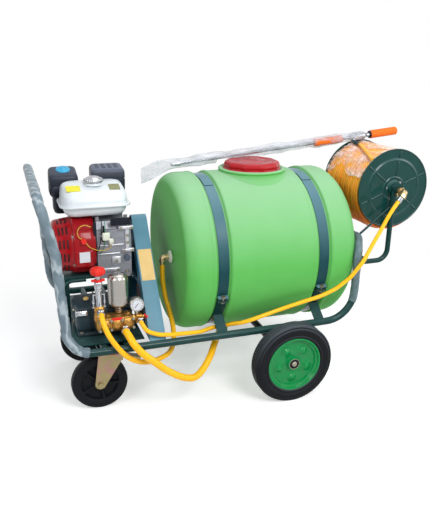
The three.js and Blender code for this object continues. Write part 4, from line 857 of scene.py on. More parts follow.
lean = np.linspace(0, np.pi / 2, 22)
left = np.stack([TANK_R - LEFT_ROUND[0] + LEFT_ROUND[0] * np.sin(lean),
                 TANK_LEFT + LEFT_ROUND[1] * (1 - np.cos(lean))], -1)
right_end = np.stack([TANK_R - RIGHT_ROUND[0] + RIGHT_ROUND[0] * np.sin(lean),
                      TANK_RIGHT - RIGHT_ROUND[1] * (1 - np.cos(lean))], -1)[::-1]
middle_x = np.arange(TANK_LEFT + 54, TANK_RIGHT - 78, 1.5)
groove = sum(smooth((29 - np.abs(middle_x - x)) / 7) for x in STRAPS)
lips = sum(np.exp(-((np.abs(middle_x - x) - 35) / 6) ** 2) for x in STRAPS)
keep = np.abs(np.gradient(groove)) + np.abs(np.gradient(lips)) > 1e-3
keep[::20] = True
middle = np.stack([TANK_R - GROOVE_DEEP * groove + LIP_HIGH * lips, middle_x], -1)[keep]
inner_left = [[r, TANK_LEFT] for r in (0, 60, 130, 200, 240)]
inner_right = [[r, TANK_RIGHT] for r in (150, 100, 50, 0)]
shell = turned(np.vstack([inner_left, left, middle, right_end, inner_right]), "x", [0, 0, TANK_Z], 128)
piece("tank_shell", shell, polythene, "spray_tank", sharp=60)

# %% Neck and fittings
NECK = np.array([-43.5, 0.0, 0.0])
NECK_R, NECK_TOP = 123, 801.5
ELBOW_Y, ELBOW_Z = -76, 505

ring = np.linspace(0, 2 * np.pi, 96, endpoint=False)
flare = np.concatenate([18 * (1 - np.linspace(0, 1, 12)) ** 3, [-1, -3, -30, -31]])[:, None]
neck_r = NECK_R + flare
base = TANK_Z + np.sqrt(np.maximum(0, 288.0 ** 2 - (neck_r * np.sin(ring)) ** 2))
rim_z = np.concatenate([np.full(12, NECK_TOP), [802.6, 803, 803, 780]])[:, None]
climb = np.concatenate([np.linspace(0, 1, 12) ** 0.8, [1, 1, 1, 1]])[:, None]
neck_z = base + (rim_z - base) * climb
neck_grid = np.stack([NECK[0] + neck_r * np.cos(ring), neck_r * np.sin(ring), neck_z], -1)
piece("tank_neck", skin(neck_grid), polythene, sharp=60)
collar = turned([[104, 795], [122, 795], [126, 797.5], [127.4, 801], [126, 804.4], [122, 806.4], [116, 806.8],
                 [110, 805.4], [108.4, 803], [104, 803]], "z", NECK, 120, closed=True)
piece("tank_collar", collar, polythene, sharp=60)
boss = turned([[0, -379.5], [17, -379.5], [22, -381], [23.5, -384], [22, -387.4], [17, -389.6], [11, -391],
               [0, -391]], "x", [0, ELBOW_Y, ELBOW_Z], 40)
piece("elbow_boss", boss, cream_plastic)
elbow_bend = bent([[-402, ELBOW_Y, ELBOW_Z], [-415, ELBOW_Y, ELBOW_Z], [-415, ELBOW_Y, 491]], [9])
into_tank = bars("x", [0, ELBOW_Y, ELBOW_Z], (-390, -404, 9.5, 24), (-392, -398, 12.5, 6))
into_hose = bars("z", [-415, ELBOW_Y, 0], (497, 489, 12, 6), (490, 478.3, 8.5, 20))
piece("elbow_fitting", [*into_tank, tube(elbow_bend, 9.4, 20), *into_hose], pale_brass, "tank_elbow",
      sharp=50)
piece("tank_drain", [rod([-190, -110, 262], [-190, -110, 190], 22, 28),
                     rod([-190, -110, 204], [-209, -135, 204], 12, 20)], polythene)


# %% Lid
LID_TOP = 832.3


def lid_facets(radius, turn, along):
    """Ten flat facets for the hand, with soft corners: each point moves in to its facet's plane."""
    half = np.pi / 10
    off = np.abs((turn + half) % (2 * half) - half)
    flat = np.cos(half) / np.cos(np.minimum(off, half * 0.9)) * 1.012
    share = smooth((radius - 60) / 34) * (along > 805.5)
    return radius * (1 - share * (1 - np.minimum(flat, 1))), along


lid = turned([[0, 803.3], [104.5, 803.3], [107, 804.4], [107.4, 807], [107, 809.6], [104, 811],
              [105.6, 812.5], [106.4, 815], [104.6, 821], [102.4, 825.6], [99.6, 829], [96, 831.3],
              [91, LID_TOP], [78, LID_TOP], [74, LID_TOP - 1.2], [40, LID_TOP - 1.6], [36, LID_TOP - 0.4],
              [24, LID_TOP], [0, LID_TOP]], "z", NECK, 200, shift=lid_facets)
plug = turned([[0, 791], [86, 791], [88, 793], [88, 805], [0, 805]], "z", NECK, 64)
piece("lid_cap", [lid, plug], red_lid_plastic, "tank_lid", "lid", sharp=45)


# %% Straps
BAND_IN, BAND_OUT, BAND_END = 284.3, 286.8, -18.7


def tank_band(x, width, r_in, r_out, start_at, end_at, steps=90):
    """A flat band round the tank's axis. Angles run from +Y towards +Z."""
    half = width / 2
    return band_about_x([[x - half, r_in], [x + half, r_in], [x + half, r_out], [x - half, r_out]], start_at,
                        end_at, TANK_Z, steps)


def band_about_x(section, start_at, end_at, z, steps=12):
    """A section of [x, radius] carried round a line along X, between two angles."""
    t = np.radians(np.linspace(start_at, end_at, steps))[:, None]
    section = np.array(section)[None]
    along, radius = section[..., 0], section[..., 1]
    return skin(np.stack([along + 0 * t, radius * np.cos(t), z + radius * np.sin(t)], -1))


def leaned(shape, degrees, z=TANK_Z):
    """A shape turned about a line along X, and lifted to the height of that line."""
    points, faces = turned_about_x(shape, degrees, 0, 0)
    return points + (0, 0, z), faces


for x, end in zip(STRAPS, ("engine_end", "reel_end")):
    band = tank_band(x, 38, BAND_IN, BAND_OUT, BAND_END, 180 - BAND_END)
    buckle = tank_band(x, 36, BAND_OUT, 289.0, 100, 112, 8)
    lug = leaned(soft_box([x - 19, 283.5, -2], [x + 19, 304.3, 2], 1.4, 3), BAND_END)
    piece(f"{end}_strap_band", [band, buckle, lug, mirrored(lug)], strap_enamel, f"{end}_strap")
    bolt = bars("z", [x, 297.8, 0], (-15, 15, 4, 16), (-15, -10.5, 7.2, 6), (10.8, 15, 7.2, 6),
                (-10.5, -8.7, 9, 20), (9.2, 10.8, 9, 20))
    piece(f"{end}_clamp_bolts", both_sides([leaned(together(*bolt), -20)]), zinc_bolt)

# %% [markdown]
# ## Wheels and casters
# The tyres are solid rubber with a groove round the tread and one round each wall. The rims are
# pressed steel: a deep dish with five bumps, and a bearing under a cap. The casters' black wheels
# have five pockets between ribs.

# %% Main wheels
WHEEL_Y, WHEEL_R = 339.5, 151.0
BUMP_AT = math.radians(50)


def bumps(radius, turn, along):
    """Five round bumps pressed outwards in the rim's dish: bell curves along and across the radius."""
    off = (turn - BUMP_AT + np.pi / 5) % (2 * np.pi / 5) - np.pi / 5
    bump = np.exp(-((radius - 57) / 12.5) ** 2 - (off * radius / 14) ** 2)
    return radius, along + 11.5 * bump * np.sign(along) * (radius > 25) * (radius < 83)


half_tyre = [[102.8, 26], [104, 28.2], [107, 29], [110.5, 29], [112, 28], [114, 27.7], [118, 28.5], [126, 29],
             [134, 29], [138, 28.4], [139.8, 26.4], [141.4, 25.6], [143, 26.2], [146.5, 25], [149.6, 21.8],
             [151, 18.5], [151, 13], [149.4, 12.4], [149.4, 10.6], [151, 10], [151, 2.5], [149.4, 2]]
tyre_profile = half_tyre + [[r, -y] for r, y in half_tyre[::-1]]
dish = np.linspace(27, 82, 40)
rim_profile = [[0, 19], [20, 19], [20.4, 23], [21.4, 24.4], [23, 24.4], [24.2, 23], [24.6, 13], [25.6, 10.8],
               *[[r, 9.6] for r in dish], [84, 10.4], [86, 16.6], [87.4, 18.2], [91.6, 18.8], [93.6, 20.4],
               [94.8, 25.6], [96.6, 27.8], [99.6, 28.3], [101.8, 27.4], [102.5, 25], [102.5, -25], [102, -27],
               [94, -25], [86, -10], [84, 4], *[[r, 4] for r in dish[::-1]], [24, 2], [22, -46], [10.5, -46],
               [10.5, 15], [0, 15]]
cap_profile = [[0, 29.4], [4, 29.1], [7.4, 27.8], [9.6, 25.4], [10.4, 22.4], [10.4, 19.5], [0, 19.5]]
seal_profile = [[10, 19], [10, 23.2], [18.4, 23.2], [18.4, 19]]
race_profile = [[18.5, 19], [18.5, 24], [20.2, 24], [20.2, 19]]


def on_wheel(profile, side, sides, **options):
    """A profile turned about one main wheel's axle. Its places along the axle count outwards."""
    outwards = np.array(profile) * np.array([1, side])
    return turned(outwards, "y", [0, side * WHEEL_Y, WHEEL_R], sides, **options)


for name, side in (("near", -1), ("far", 1)):
    wheel = f"{name}_wheel"
    piece(f"{name}_tyre", on_wheel(tyre_profile, side, 128, closed=True), rubber, f"{wheel}_tyre", wheel, 50)
    piece(f"{name}_rim", on_wheel(rim_profile, side, 120, shift=bumps), rim_enamel, f"{wheel}_rim", wheel, 40)
    seal = on_wheel(seal_profile, side, 40, closed=True)
    piece(f"{name}_hub_seal", seal, caster_rubber, body=wheel, sharp=40)
    cap = [on_wheel(cap_profile, side, 40), on_wheel(race_profile, side, 40, closed=True)]
    piece(f"{name}_hub_cap", cap, zinc_bolt, body=wheel, sharp=40)

# %% Casters
CASTER_X, CASTER_Y, CASTER_R = -676, 181, 99.5


def pockets(radius, turn, along):
    """Five pockets between ribs, sunk into both faces of the caster's wheel."""
    rib = (0.5 + 0.5 * np.cos(5 * turn + 0.6)) ** (0.32 * radius)
    sunk = smooth((radius - 23) / 4) * smooth((67 - radius) / 4) * smooth((0.5 - rib) / 0.4)
    return radius, along - 11 * sunk * np.sign(along)


web = np.linspace(20, 68, 30)
half_caster = [[6.3, 24], [17, 24], [18, 16], *[[r, 16] for r in web], [71, 18], [76, 20], [90, 21], [97, 17],
               [99.5, 9]]
caster_profile = half_caster + [[r, -y] for r, y in half_caster[::-1]]
for name, side in (("near", -1), ("far", 1)):
    y = side * CASTER_Y
    wheel = turned(caster_profile, "y", [CASTER_X, y, CASTER_R], 160, closed=True, shift=pockets)
    piece(f"{name}_caster_tyre", wheel, caster_rubber, f"{name}_caster_wheel", f"{name}_caster_roller", 40)
    nuts = bars("y", [CASTER_X, 0, CASTER_R], *[(y + s * 28.5, y + s * 36, 9, 6) for s in (-1, 1)])
    piece(f"{name}_caster_nuts", nuts, zinc, body=f"{name}_caster")

# %% [markdown]
# ## Engine
# A small horizontal-shaft petrol engine: a white fuel tank with a rolled seam on top, a red fan cover
# at the left, an aluminium casting, and a black air cleaner and muffler behind.

# %% Fuel tank and cap
TANK_MID = (-641.5, 7.0)
CAP_AT = [-639, 0, 0]
TANK_SLOPE = (12, 0.30, 735, 770)


def stacked(rows, x, y, steps=6):
    """Rounded rectangles laid on each other. A row is [height, half length, half width, corner]: four
    quarter circles at the corners, joined by straight sides."""
    rows = np.asarray(rows, float)
    spin = np.radians(np.concatenate([np.linspace(q, q + 90, steps + 1) for q in (0, 90, 180, 270)]))[None]
    side_x = np.repeat([1, -1, -1, 1], steps + 1)[None]
    side_y = np.repeat([1, 1, -1, -1], steps + 1)[None]
    z, half_x, half_y, corner = (rows[:, i:i + 1] for i in range(4))
    grid = np.stack([x + side_x * (half_x - corner) + corner * np.cos(spin),
                     y + side_y * (half_y - corner) + corner * np.sin(spin), z + 0 * spin], -1)
    return skin(grid)


def sloped(shape, from_y, drop, from_z, to_z):
    """Lowers what is above some height, the more the nearer it is to the front."""
    points, faces = shape
    lower_by = drop * np.maximum(0, from_y - points[:, 1]) * smooth((points[:, 2] - from_z) / (to_z - from_z))
    return points - np.stack([0 * lower_by, 0 * lower_by, lower_by], -1), faces


def finger_grips(radius, turn, along):
    """Shallow flutes round the cap's edge."""
    return radius - 1.3 * (radius > 27) * (along > 783) * np.abs(np.sin(9 * turn)), along


lower = stacked([[668, 66, 38, 20], [669, 80, 50, 24], [672, 92, 61, 28], [678, 101, 69, 32],
                 [688, 107, 74, 34], [705, 110, 77, 36]], *TANK_MID)
seam = stacked([[705, 113, 80, 36], [705.3, 119, 86, 39], [706.5, 122, 88.6, 41], [709, 122.5, 89, 41],
                [711.5, 122, 88.6, 41], [712.6, 119, 86, 39], [713, 113, 80, 36]], *TANK_MID)
upper = stacked([[713, 114.5, 81, 37], [715, 113, 79.5, 36.5], [720, 112.5, 79, 36], [742, 111, 77.5, 36],
                 [756, 109, 75.5, 36], [765, 105.5, 72, 35], [771.5, 99.5, 66, 33], [775.5, 91, 57.5, 30],
                 [777, 80, 46, 25], [777, 60, 26, 18], [777, 40, 8, 6]], *TANK_MID)
neck = turned([[0, 770], [30, 770], [30, 777.6], [28, 779.2], [24.5, 779.8], [24.5, 785], [0, 785]], "z",
              CAP_AT, 40)
piece("fuel_tank_shell", [lower, seam, sloped(upper, *TANK_SLOPE), neck], white_plastic, "fuel_tank",
      sharp=60)
cap = turned([[0, 785.3], [25.3, 785.3], [25.3, 780.4], [32, 780.4], [33.6, 782], [34.6, 785], [34.6, 789],
              [33, 792], [29, 794.4], [25, 795], [23, 797], [18, 799.4], [11, 800.8], [0, 801.3]], "z",
             CAP_AT, 72, shift=finger_grips)
piece("fuel_cap_knob", cap, chrome, "fuel_cap", "fuel_filler_cap")
for name, half, x, finish in (("left_tank_label", 24, -713, yellow_label),
                              ("right_tank_label", 19, -572, dark_label)):
    label = stacked([[776.6, half, 19, 3], [777.7, half, 19, 3]], x, -27)
    piece(name, sloped(label, *TANK_SLOPE), finish)

# %% Fan cover
CRANK_Z = 561.0
CRANK = [0, 0, CRANK_Z]
COWL = np.array([[-106, 508], [-109, 512], [-110, 530], [-110, 556], [-107.5, 580], [-102, 602], [-92, 624],
                 [-78, 642], [-62, 653], [-44, 660], [-20, 663], [-20, 508]])


def rounded_run(outline, rows, middle):
    """An outline carried along X. A row is [x, how far it is drawn in], which rounds the end edges."""
    reach = np.abs(outline - middle).max()
    sections = [middle + (outline - middle) * (1 - inset / reach) for _, inset in rows]
    return skin(np.stack([np.column_stack([np.full(len(line), x), line])
                          for (x, _), line in zip(rows, sections)]))


def louvre(x, radius, degrees):
    """A short raised strip round the fan's tapered wall."""
    section = [(x, radius), (x + 7, radius + 0.9), (x + 7, radius + 2.1), (x, radius + 1.2)]
    return band_about_x(section, degrees, degrees + 19, CRANK_Z)


fan = turned([[0, -798], [26, -798], [30, -796], [70, -796], [77, -794.5], [83, -791], [88, -786],
              [90.5, -780], [96, -740], [97.5, -733], [101, -727], [104.5, -723.5], [105, -718], [105, -660],
              [104, -654.3], [0, -654.3]], "x", CRANK, 96)
cowl = rounded_run(COWL, [(-728, 8), (-727, 3.5), (-724, 1), (-719, 0), (-676, 0), (-668, 1.6), (-661, 5),
                          (-656.5, 10), (-654.3, 16)], np.array([-60, 575]))
panel = soft_box([-721, -113, 506], [-662, -96, 568], 7, 5)
piece("fan_cover", [fan, cowl, panel], red_enamel, "recoil_cover", sharp=42)
# The slots are dark red strips, painted as the shade inside them.
louvres = [louvre(x, r, a) for x, r in ((-777, 90.0), (-764, 91.8), (-751, 93.6)) for a in range(4, 360, 30)]
slot_box = soft_box([-796.8, -11, 44], [-795, 11, 52], 0.8, 2)
end_slots = [leaned(slot_box, 30 * k, CRANK_Z) for k in range(12)]
piece("fan_slots", [*louvres, *end_slots], shaded_red, sharp=60)
piece("cover_label", soft_box([-713, -114.3, 525], [-677, -112.4, 562], 0.4, 1), white_label)
screws = [head("x", [0, 100 * math.cos(a), CRANK_Z + 100 * math.sin(a)], -728, -731, -732.5, 5, 3.5, 12)
          for a in np.radians([150, 210, 270, 330, 30, 90])]
piece("cover_screws", screws, zinc_bolt)

# %% Air cleaner and muffler
CLEANER_SLOPE = (190, 0.26, 752, 800)
GUARD_SLOPE = (190, 0.12, 768, 806)
SHIELD_MID = (-566.5, 151)

case = stacked([[706, 42, 35, 12], [707.5, 47, 40, 13], [712, 50.5, 43.5, 14], [744, 51.5, 44.5, 14],
                [745.5, 50, 43, 13.5], [748.5, 50, 43, 13.5], [750, 52, 45, 14], [788, 51, 44, 14],
                [798, 49.5, 42.5, 14], [804, 46, 39, 13.5], [807, 41, 34, 12], [808, 35, 28, 10],
                [808, 12, 10, 6]], -728, 151)
duct = stacked([[638, 14, 10, 6], [640, 24, 20, 10], [645, 31, 27, 13], [655, 34.5, 30.5, 14],
                [707, 35, 31, 14]], -735, 151)
hood = [soft_box([-781 + 0.2 * k, 114 + 12 * k, 716], [-778, 121 + 12 * k, 738], 1.2, 2) for k in range(6)]
intake = turned([[0, -702], [17, -702], [17, -668], [19.5, -667], [19.5, -658], [17, -657], [17, -648.6],
                 [0, -648.6]], "x", [0, 150, 656], 32)
piece("air_cleaner_case", [sloped(case, *CLEANER_SLOPE), duct, intake, *hood], black_plastic, "air_cleaner",
      sharp=50)
knob = turned([[0, 805], [25, 805], [26.5, 808.5], [25, 811], [18, 812.5], [9, 813.4], [7, 815.5], [0, 816]],
              "z", [-726, 156, 0], 40)
piece("air_cleaner_knob", sloped(knob, *CLEANER_SLOPE), cyan_plastic)
shield = stacked([[714, 50, 34, 9], [715.5, 57, 41, 11], [720, 60.5, 44, 12], [762, 61.5, 45, 12],
                  [763, 59.5, 43, 12], [766.5, 59.5, 43, 12], [767.5, 61.5, 45, 12], [797, 61, 44.5, 12],
                  [804, 59, 42.5, 12], [809, 55, 38.5, 12], [811.5, 50, 33.5, 11], [812, 44, 28, 10],
                  [812, 14, 10, 6]], *SHIELD_MID)
pipe_stub = rod([-567, 131, 686], [-567, 131, 716], 13, 24)
outlet = turned([[9, -516], [9.2, -503.4], [11.2, -503.4], [11.2, -512], [14, -514], [14, -516]], "x",
                [0, 175, 751], 28, closed=True)
piece("muffler_guard", [sloped(shield, *GUARD_SLOPE), pipe_stub, outlet], muffler_enamel, "muffler", sharp=45)
# The slits are black strips on the guard's top, painted as the shade inside them.
slits = [soft_box([SHIELD_MID[0] + x, SHIELD_MID[1] + y, 810.8],
                  [SHIELD_MID[0] + x + 15, SHIELD_MID[1] + y + 7, 813], 0.9, 2)
         for x in (-45, -22, 1, 24) for y in (-26, -12, 2, 16)]
piece("muffler_slits", [sloped(slit, *GUARD_SLOPE) for slit in slits], black_plastic)

# %% [markdown]
# ## Engine details
# The aluminium casting keeps its CAD solid. Its front carries machined bosses, screws, a connector and
# the thin wires of the stop switch, which are short cords that run from one clip to another.

# %% Casting, screws and connector
flanges = [([-574, -101, 628], [-522, -86, 640], 3), ([-564, -101, 546], [-521, -86, 558], 3),
           ([-552, -97, 552], [-535, -86, 634], 4), ([-640, -96.5, 604], [-602, -89, 613], 2.5),
           ([-648, -96, 571], [-556, -89, 577], 2.5), ([-648, -97, 476], [-572, -88, 490], 3),
           ([-648, -96, 540], [-570, -89, 546], 2.5), ([-600, -95, 500], [-566, -89, 532], 5)]
piece("casting_flanges", [soft_box(*flange, 3) for flange in flanges], bright_casting, sharp=50)
# Dark plates painted as the shade in the gap between the fan cover and the casting, where the cooling
# air goes through, and under the fuel tank.
piece("painted_gap_shade", [soft_box([-660, -92, 478], [-649, -88, 660], 1.4, 2),
                      soft_box([-600, -90.5, 642], [-530, -86, 668], 1.6, 2)], black_enamel)
casting_bolts = [(-567, -101, 634), (-529, -101, 634), (-557, -101, 552), (-527, -101, 552),
                 (-543.5, -97, 606), (-543.5, -97, 580), (-640, -97, 483), (-580, -97, 483), (-583, -95, 516)]
heads = [head("y", place, 1, -3.6, -4.6, 5.4, 4.4) for place in casting_bolts]
base_bolts = [turned([[0, 468], [9, 468], [9, 470.4], [6.6, 470.5], [6.6, 476], [5.5, 477], [0, 477]], "z",
                     [x, y, 0], 6) for x in (-640, -548) for y in (-91, 78)]
piece("casting_bolts", [*heads, *base_bolts], zinc_bolt)
piece("wire_connector", [soft_box([-632, -113, 596], [-606, -101, 624], 4, 3),
                         soft_box([-610, -114, 582], [-594, -101, 602], 5, 3)], cream_plastic)


# %% Wires
def wire(name, points, finish, diameter=3.0):
    """A thin wire from one clip to another."""
    line = flowing(points, 2.5)
    obj = piece(name, tube(line, diameter / 2, 8), finish, sharp=80)


wire("stop_wire_top", [[-668, -95, 645], [-673, -109, 650], [-690, -111, 657], [-708, -110, 650],
                       [-716, -110, 632], [-712, -110, 616], [-702, -110, 608]], yellow_wire)
wire("stop_wire_low", [[-690, -110, 596], [-680, -116, 582], [-664, -111, 570], [-645, -107, 562],
                       [-622, -105, 562], [-607, -106, 570], [-601, -107, 584]], yellow_wire)
wire("green_wire", [[-620, -80, 660], [-621, -96, 652], [-622, -104, 638], [-623, -106, 610],
                    [-625, -106, 585], [-631, -105, 562], [-640, -99, 548], [-641, -92, 544]], green_wire)
wire("black_wire", [[-630, -80, 661], [-632, -97, 652], [-634, -104, 636], [-637, -106, 610],
                    [-640, -106, 588], [-644, -103, 570], [-647, -97, 556], [-648, -91, 552]],
     belt_rubber, 3.4)

# %% [markdown]
# ## Belt guard and labels
# The guard is folded from sheet steel and painted blue-green. The long plate on its outer edge is left
# blank, because the part carries no lettering.

# %% Belt guard
GUARD_FRONT, GUARD_BACK = -513, -457
LABEL_LOW, LABEL_HIGH = 455, 548
GUARD_OUT = np.array([[-287, 281.8], [-30, 636], [-26, 641.5], [-20, 648], [-12, 652.5], [-4, 654],
                      [6, 651.5], [22, 641], [86, 575.5], [92, 568], [95.5, 560], [96, 552], [58, 281.8]])
GUARD_IN = np.array([[-281, 281.8], [-27, 632.5], [-23.5, 637.5], [-18, 643.5], [-11, 647.8], [-4, 649.5],
                     [4.5, 647], [19, 638], [83, 573], [88.6, 566], [91.8, 559.3], [92, 552], [54, 281.8]])


def folded(outline_out, outline_in, x_open, x_back):
    """A tray: its outer and inner walls meet at the open side, and its back is closed."""
    rows = [(outline_in, x_back - 2), (outline_in, x_open + 0.6),
            (outline_in * 0.5 + outline_out * 0.5, x_open), (outline_out, x_open + 0.6),
            (outline_out, x_back - 2.5), (outline_out * 0.997 + (0.0, 1.4), x_back - 0.7),
            (outline_out * 0.99 + (0.0, 4.6), x_back)]
    return skin(np.stack([np.column_stack([np.full(len(line), x), line]) for line, x in rows]))


foot, crown = GUARD_OUT[:2]
tray = folded(GUARD_OUT, GUARD_IN, GUARD_FRONT, GUARD_BACK)
flange = plate([foot + (1, 0), crown + (1, -1), crown + (40, -4), crown + (46, -22), foot + (47, 0)], "x",
               GUARD_FRONT - 0.4, GUARD_FRONT + 1.6)
tie = soft_box([-513, -172, 428], [-510, 74, 440], 1, 2)
hook = soft_box([-519.7, -58, 428], [-511, -30, 440], 1.4, 2)
piece("guard_tray", [tray, flange, tie, hook], guard_enamel, "belt_guard", sharp=35)
slope = (crown - foot) / np.linalg.norm(crown - foot)
outward = np.array([-slope[1], slope[0]])
low, high = (foot + (crown - foot) * (z - foot[1]) / (crown[1] - foot[1]) for z in (LABEL_LOW, LABEL_HIGH))
label = plate([low - outward * 0.3, low + outward * 0.8, high + outward * 0.8, high - outward * 0.3], "x",
              GUARD_FRONT + 5, GUARD_BACK - 4)
piece("guard_label", label, blank_label)

# %% [markdown]
# ## Lance
# The lance lies on the lid and on the reel, and its tube is still in its clear sleeve of film. The
# sleeve is one flattened tube, so it is drawn as a thin wrinkled skin that is partly see-through.

# %% Lance and grips
LID_EDGE = -113.435
REST_LID, REST_REEL = LID_TOP + 0.3 + 7, 890.958
LANCE_LEFT, LANCE_Y, LANCE_TURN = -346, 45, 0.093
SLOPE = (REST_REEL - REST_LID) / (REEL[0] - LID_EDGE)


def on_lance(x):
    """A point on the lance's axis, from its place along the cart."""
    return np.array([x, LANCE_Y + LANCE_TURN * (x - LANCE_LEFT), REST_LID + SLOPE * (x - LID_EDGE)])


def grip(start_at, end_at, radius, lobes):
    """A moulded grip: a tube with rounded blunt ends and shallow ribs along it."""
    line = even(np.array([on_lance(start_at), on_lance(end_at)]), 2.0)
    from_end = np.minimum(np.arange(len(line)), np.arange(len(line))[::-1])[:, None] * 2.0
    turn = np.linspace(0, 2 * np.pi, 28, endpoint=False)[None]
    ends = 1 - 0.3 * np.clip(1 - from_end / 5, 0, 1) ** 2
    return tube(line, radius * ends * (1 + lobes * np.cos(14 * turn)), 28)


steps = [(-346, 442, 7, 20), (-346, -312, 6, 16, 11), (440, 462, 12, 20, 17), (461, 505, 17, 24),
         (504, 520, 17, 24, 10), (518, 537.7, 9, 16)]
barrel = [rod(on_lance(left_at), on_lance(right_at), *roundness) for left_at, right_at, *roundness in steps]
valve_stub = rod(on_lance(458), on_lance(458) + (-7, -22.8, -14.4), 7.5, 16)
piece("lance_barrel", [*barrel, valve_stub], chrome, "spray_lance")
piece("front_grip_sleeve", grip(268, 402, 15.4, 0.02), grip_foam, "front_grip")
piece("rear_grip_sleeve", grip(540, 675, 17, 0.0), grip_foam, "rear_grip", "spray_twist_grip")
collar = rod(on_lance(538.4), on_lance(541), 15.4, 28)
piece("rear_grip_collar", collar, black_plastic, body="spray_twist_grip", sharp=60)

# %% [markdown]
# The sleeve stands 38 mm high and is 57 mm wide when it is laid flat. It lies on the lid and on the
# reel's rim. Past the lance's thin end it is empty, so it is flat there and droops. Sines along it
# and round it crumple it.

sleeve_x = np.arange(-462, 503, 4.0)[:, None]
turn = np.linspace(0, 2 * np.pi, 44, endpoint=False)[None]
empty = smooth((-330 - sleeve_x) / 60)
droop = 26 * np.clip((LANCE_LEFT - sleeve_x) / 116, 0, 1) ** 1.4
valve = smooth((sleeve_x - 420) / 40)
half_high = 19 + 2.2 * np.sin(sleeve_x / 41) + 1.2 * np.sin(sleeve_x / 14) + 7 * empty
half_wide = (15 + 1.5 * np.sin(sleeve_x / 53)) * (1 - empty) + 3.0 * empty + 4 * valve
ripple = (1 + 0.06 * np.sin(3 * turn + sleeve_x / 23) + 0.05 * np.sin(5 * turn - sleeve_x / 13)
          + 0.03 * np.abs(np.sin(4 * turn + sleeve_x / 8)) + 0.02 * np.sin(11 * turn + sleeve_x / 6))
_, line_y, line_z = on_lance(sleeve_x)
sleeve_y = line_y + half_wide * ripple * np.cos(turn)
sleeve_z = line_z - droop + 1.5 + half_high * ripple * np.sin(turn)
over_lid = (sleeve_x > -165) & (sleeve_x < 75)
sleeve_z = np.where(over_lid, np.maximum(sleeve_z, LID_TOP + 0.5), sleeve_z)
over_reel = np.abs(sleeve_x - REEL[0]) < REEL_R
rim_top = REEL[2] + np.sqrt(np.maximum(0, (REEL_R + 0.8) ** 2 - (sleeve_x - REEL[0]) ** 2))
sleeve_z = np.where(over_reel, np.maximum(sleeve_z, rim_top), sleeve_z)
sleeve_grid = np.stack([sleeve_x + 0 * turn, sleeve_y, sleeve_z], -1)
sleeve = piece("lance_sleeve", skin(sleeve_grid, ends=False), clear_film, "lance_film", sharp=180)

# %% [markdown]
# ## Reel stand
# Two bent tubes drop from the frame's hoop, run out below the reel and rise to its shaft. The swivel
# at the shaft's near end joins the delivery hose to the wound one.

# %% Reel stand and swivel
STAND_Y, STAND_LOW, STAND_OUT = 160, 438, 486

stand = []
for side in (-1, 1):
    y = side * STAND_Y
    leg = bent([[HOOP_CROSS_X, y, 548.2], [HOOP_CROSS_X, y, STAND_LOW], [STAND_OUT, y, STAND_LOW],
                [STAND_OUT, y, 716]], [38, 45])
    stand += [tube(leg, 10, 20), *bars("y", REEL, (y - side * 11, y + side * 12, 20, 28)),
              rod([HOOP_CROSS_X, y, 524], [STAND_OUT, y, 661], 4.5, 12)]
stand += bars("y", [400, 0, STAND_LOW], (-STAND_Y, STAND_Y, 10))
stand += bars("y", REEL, (-176, 176, 10))
piece("stand_tubes", stand, enamel, "reel_stand", sharp=50)
elbow = bent([[REEL[0], -194, REEL[2]], [REEL[0], -212, REEL[2]], [486, -215.4, 705.4]], [7])
piece("swivel_elbow", [*bars("y", REEL, (-176.3, -196, 13, 24), (-184, -192, 17, 6)), tube(elbow, 11.5, 24),
                       rod([493, -213.9, 712.9], [485, -215.6, 704.2], 14.5, 6)], pale_brass, "reel_swivel")
piece("swivel_ferrule", [rod([485.4, -215.5, 704.6], [468.6, -221.8, 689.2], 9.4, 24),
                         rod([473, -220.2, 693], [470, -221.2, 690.4], 10.4, 24)], chrome, sharp=50)
piece("swivel_body", [soft_box([482, -190, 702], [508, -177, 714], 3, 3),
                      *bars("z", [REEL[0], -178, 0], (700, 716, 9, 20))], pale_brass, sharp=50)

# %% [markdown]
# ## Pump
# The brass manifold carries three valve barrels, a stainless air chamber, a chromed regulator with a
# red knob and a pressure gauge.

# %% Manifold and air chamber
PLUNGERS = (-655, -617.5, -580)
REGULATOR = [-671, -228, 0]
CHAMBER = [-601, -200, 0]

body = soft_box([-684, -249, 314], [-555, -182.3, 364], 13, 5)
left_end = turned([[0, 352], [17, 352], [19, 356], [19, 372], [17, 377], [14, 380], [0, 380]], "z",
                  REGULATOR, 36)
saddles = [soft_box([x - 17, -254, 322], [x + 17, -186, 361], 9, 4) for x in PLUNGERS]
caps = [turned([[0, -250], [15, -250], [15, -256], [13.4, -257.6], [9, -258.4], [8, -256.6],
                [0, -256.6]], "y", [x, 0, 342], 40) for x in PLUNGERS]
crests = [turned([[0, 360], [12, 360], [12, 365], [8, 367.5], [0, 367.8]], "z", [x, -214, 0], 6)
          for x in (-640, -574)]
inlet = bars("y", [-592, 0, 322], (-240, -256, 15, 8), (-256, SPIGOT_Y, 13, 24))
outlet = bars("x", [0, -230, 349], (-558, -552.3, 12, 24), (-562, -556, 15, 6))
piece("manifold_body", [body, left_end, *saddles, *caps, *crests, *inlet, *outlet], brass, "pump_manifold",
      sharp=45)
bolts = [head("y", [x, 0, z], -248, -253.4, -254.6, 6, 4.6)
         for x in (-674, -636, -599, -561) for z in (325, 357)]
piece("manifold_bolts", bolts, zinc_bolt)
piece("manifold_plate", soft_box([-634, -252.4, 357], [-598, -248, 367], 1.6, 3), red_plastic)
chamber = turned([[0, 366.3], [13, 366.3], [13, 372], [15, 373], [15, 380], [12, 381], [12, 386], [20, 389],
                  [29, 393], [33.6, 397], [35.5, 402], [35.5, 404], [35.0, 405], [35.0, 484], [34.4, 490],
                  [32, 496.5], [28, 501.5], [22, 505.2], [14, 507.4], [6, 508], [0, 508]], "z", CHAMBER, 72)
piece("air_chamber_shell", chamber, stainless, "air_chamber", sharp=50)

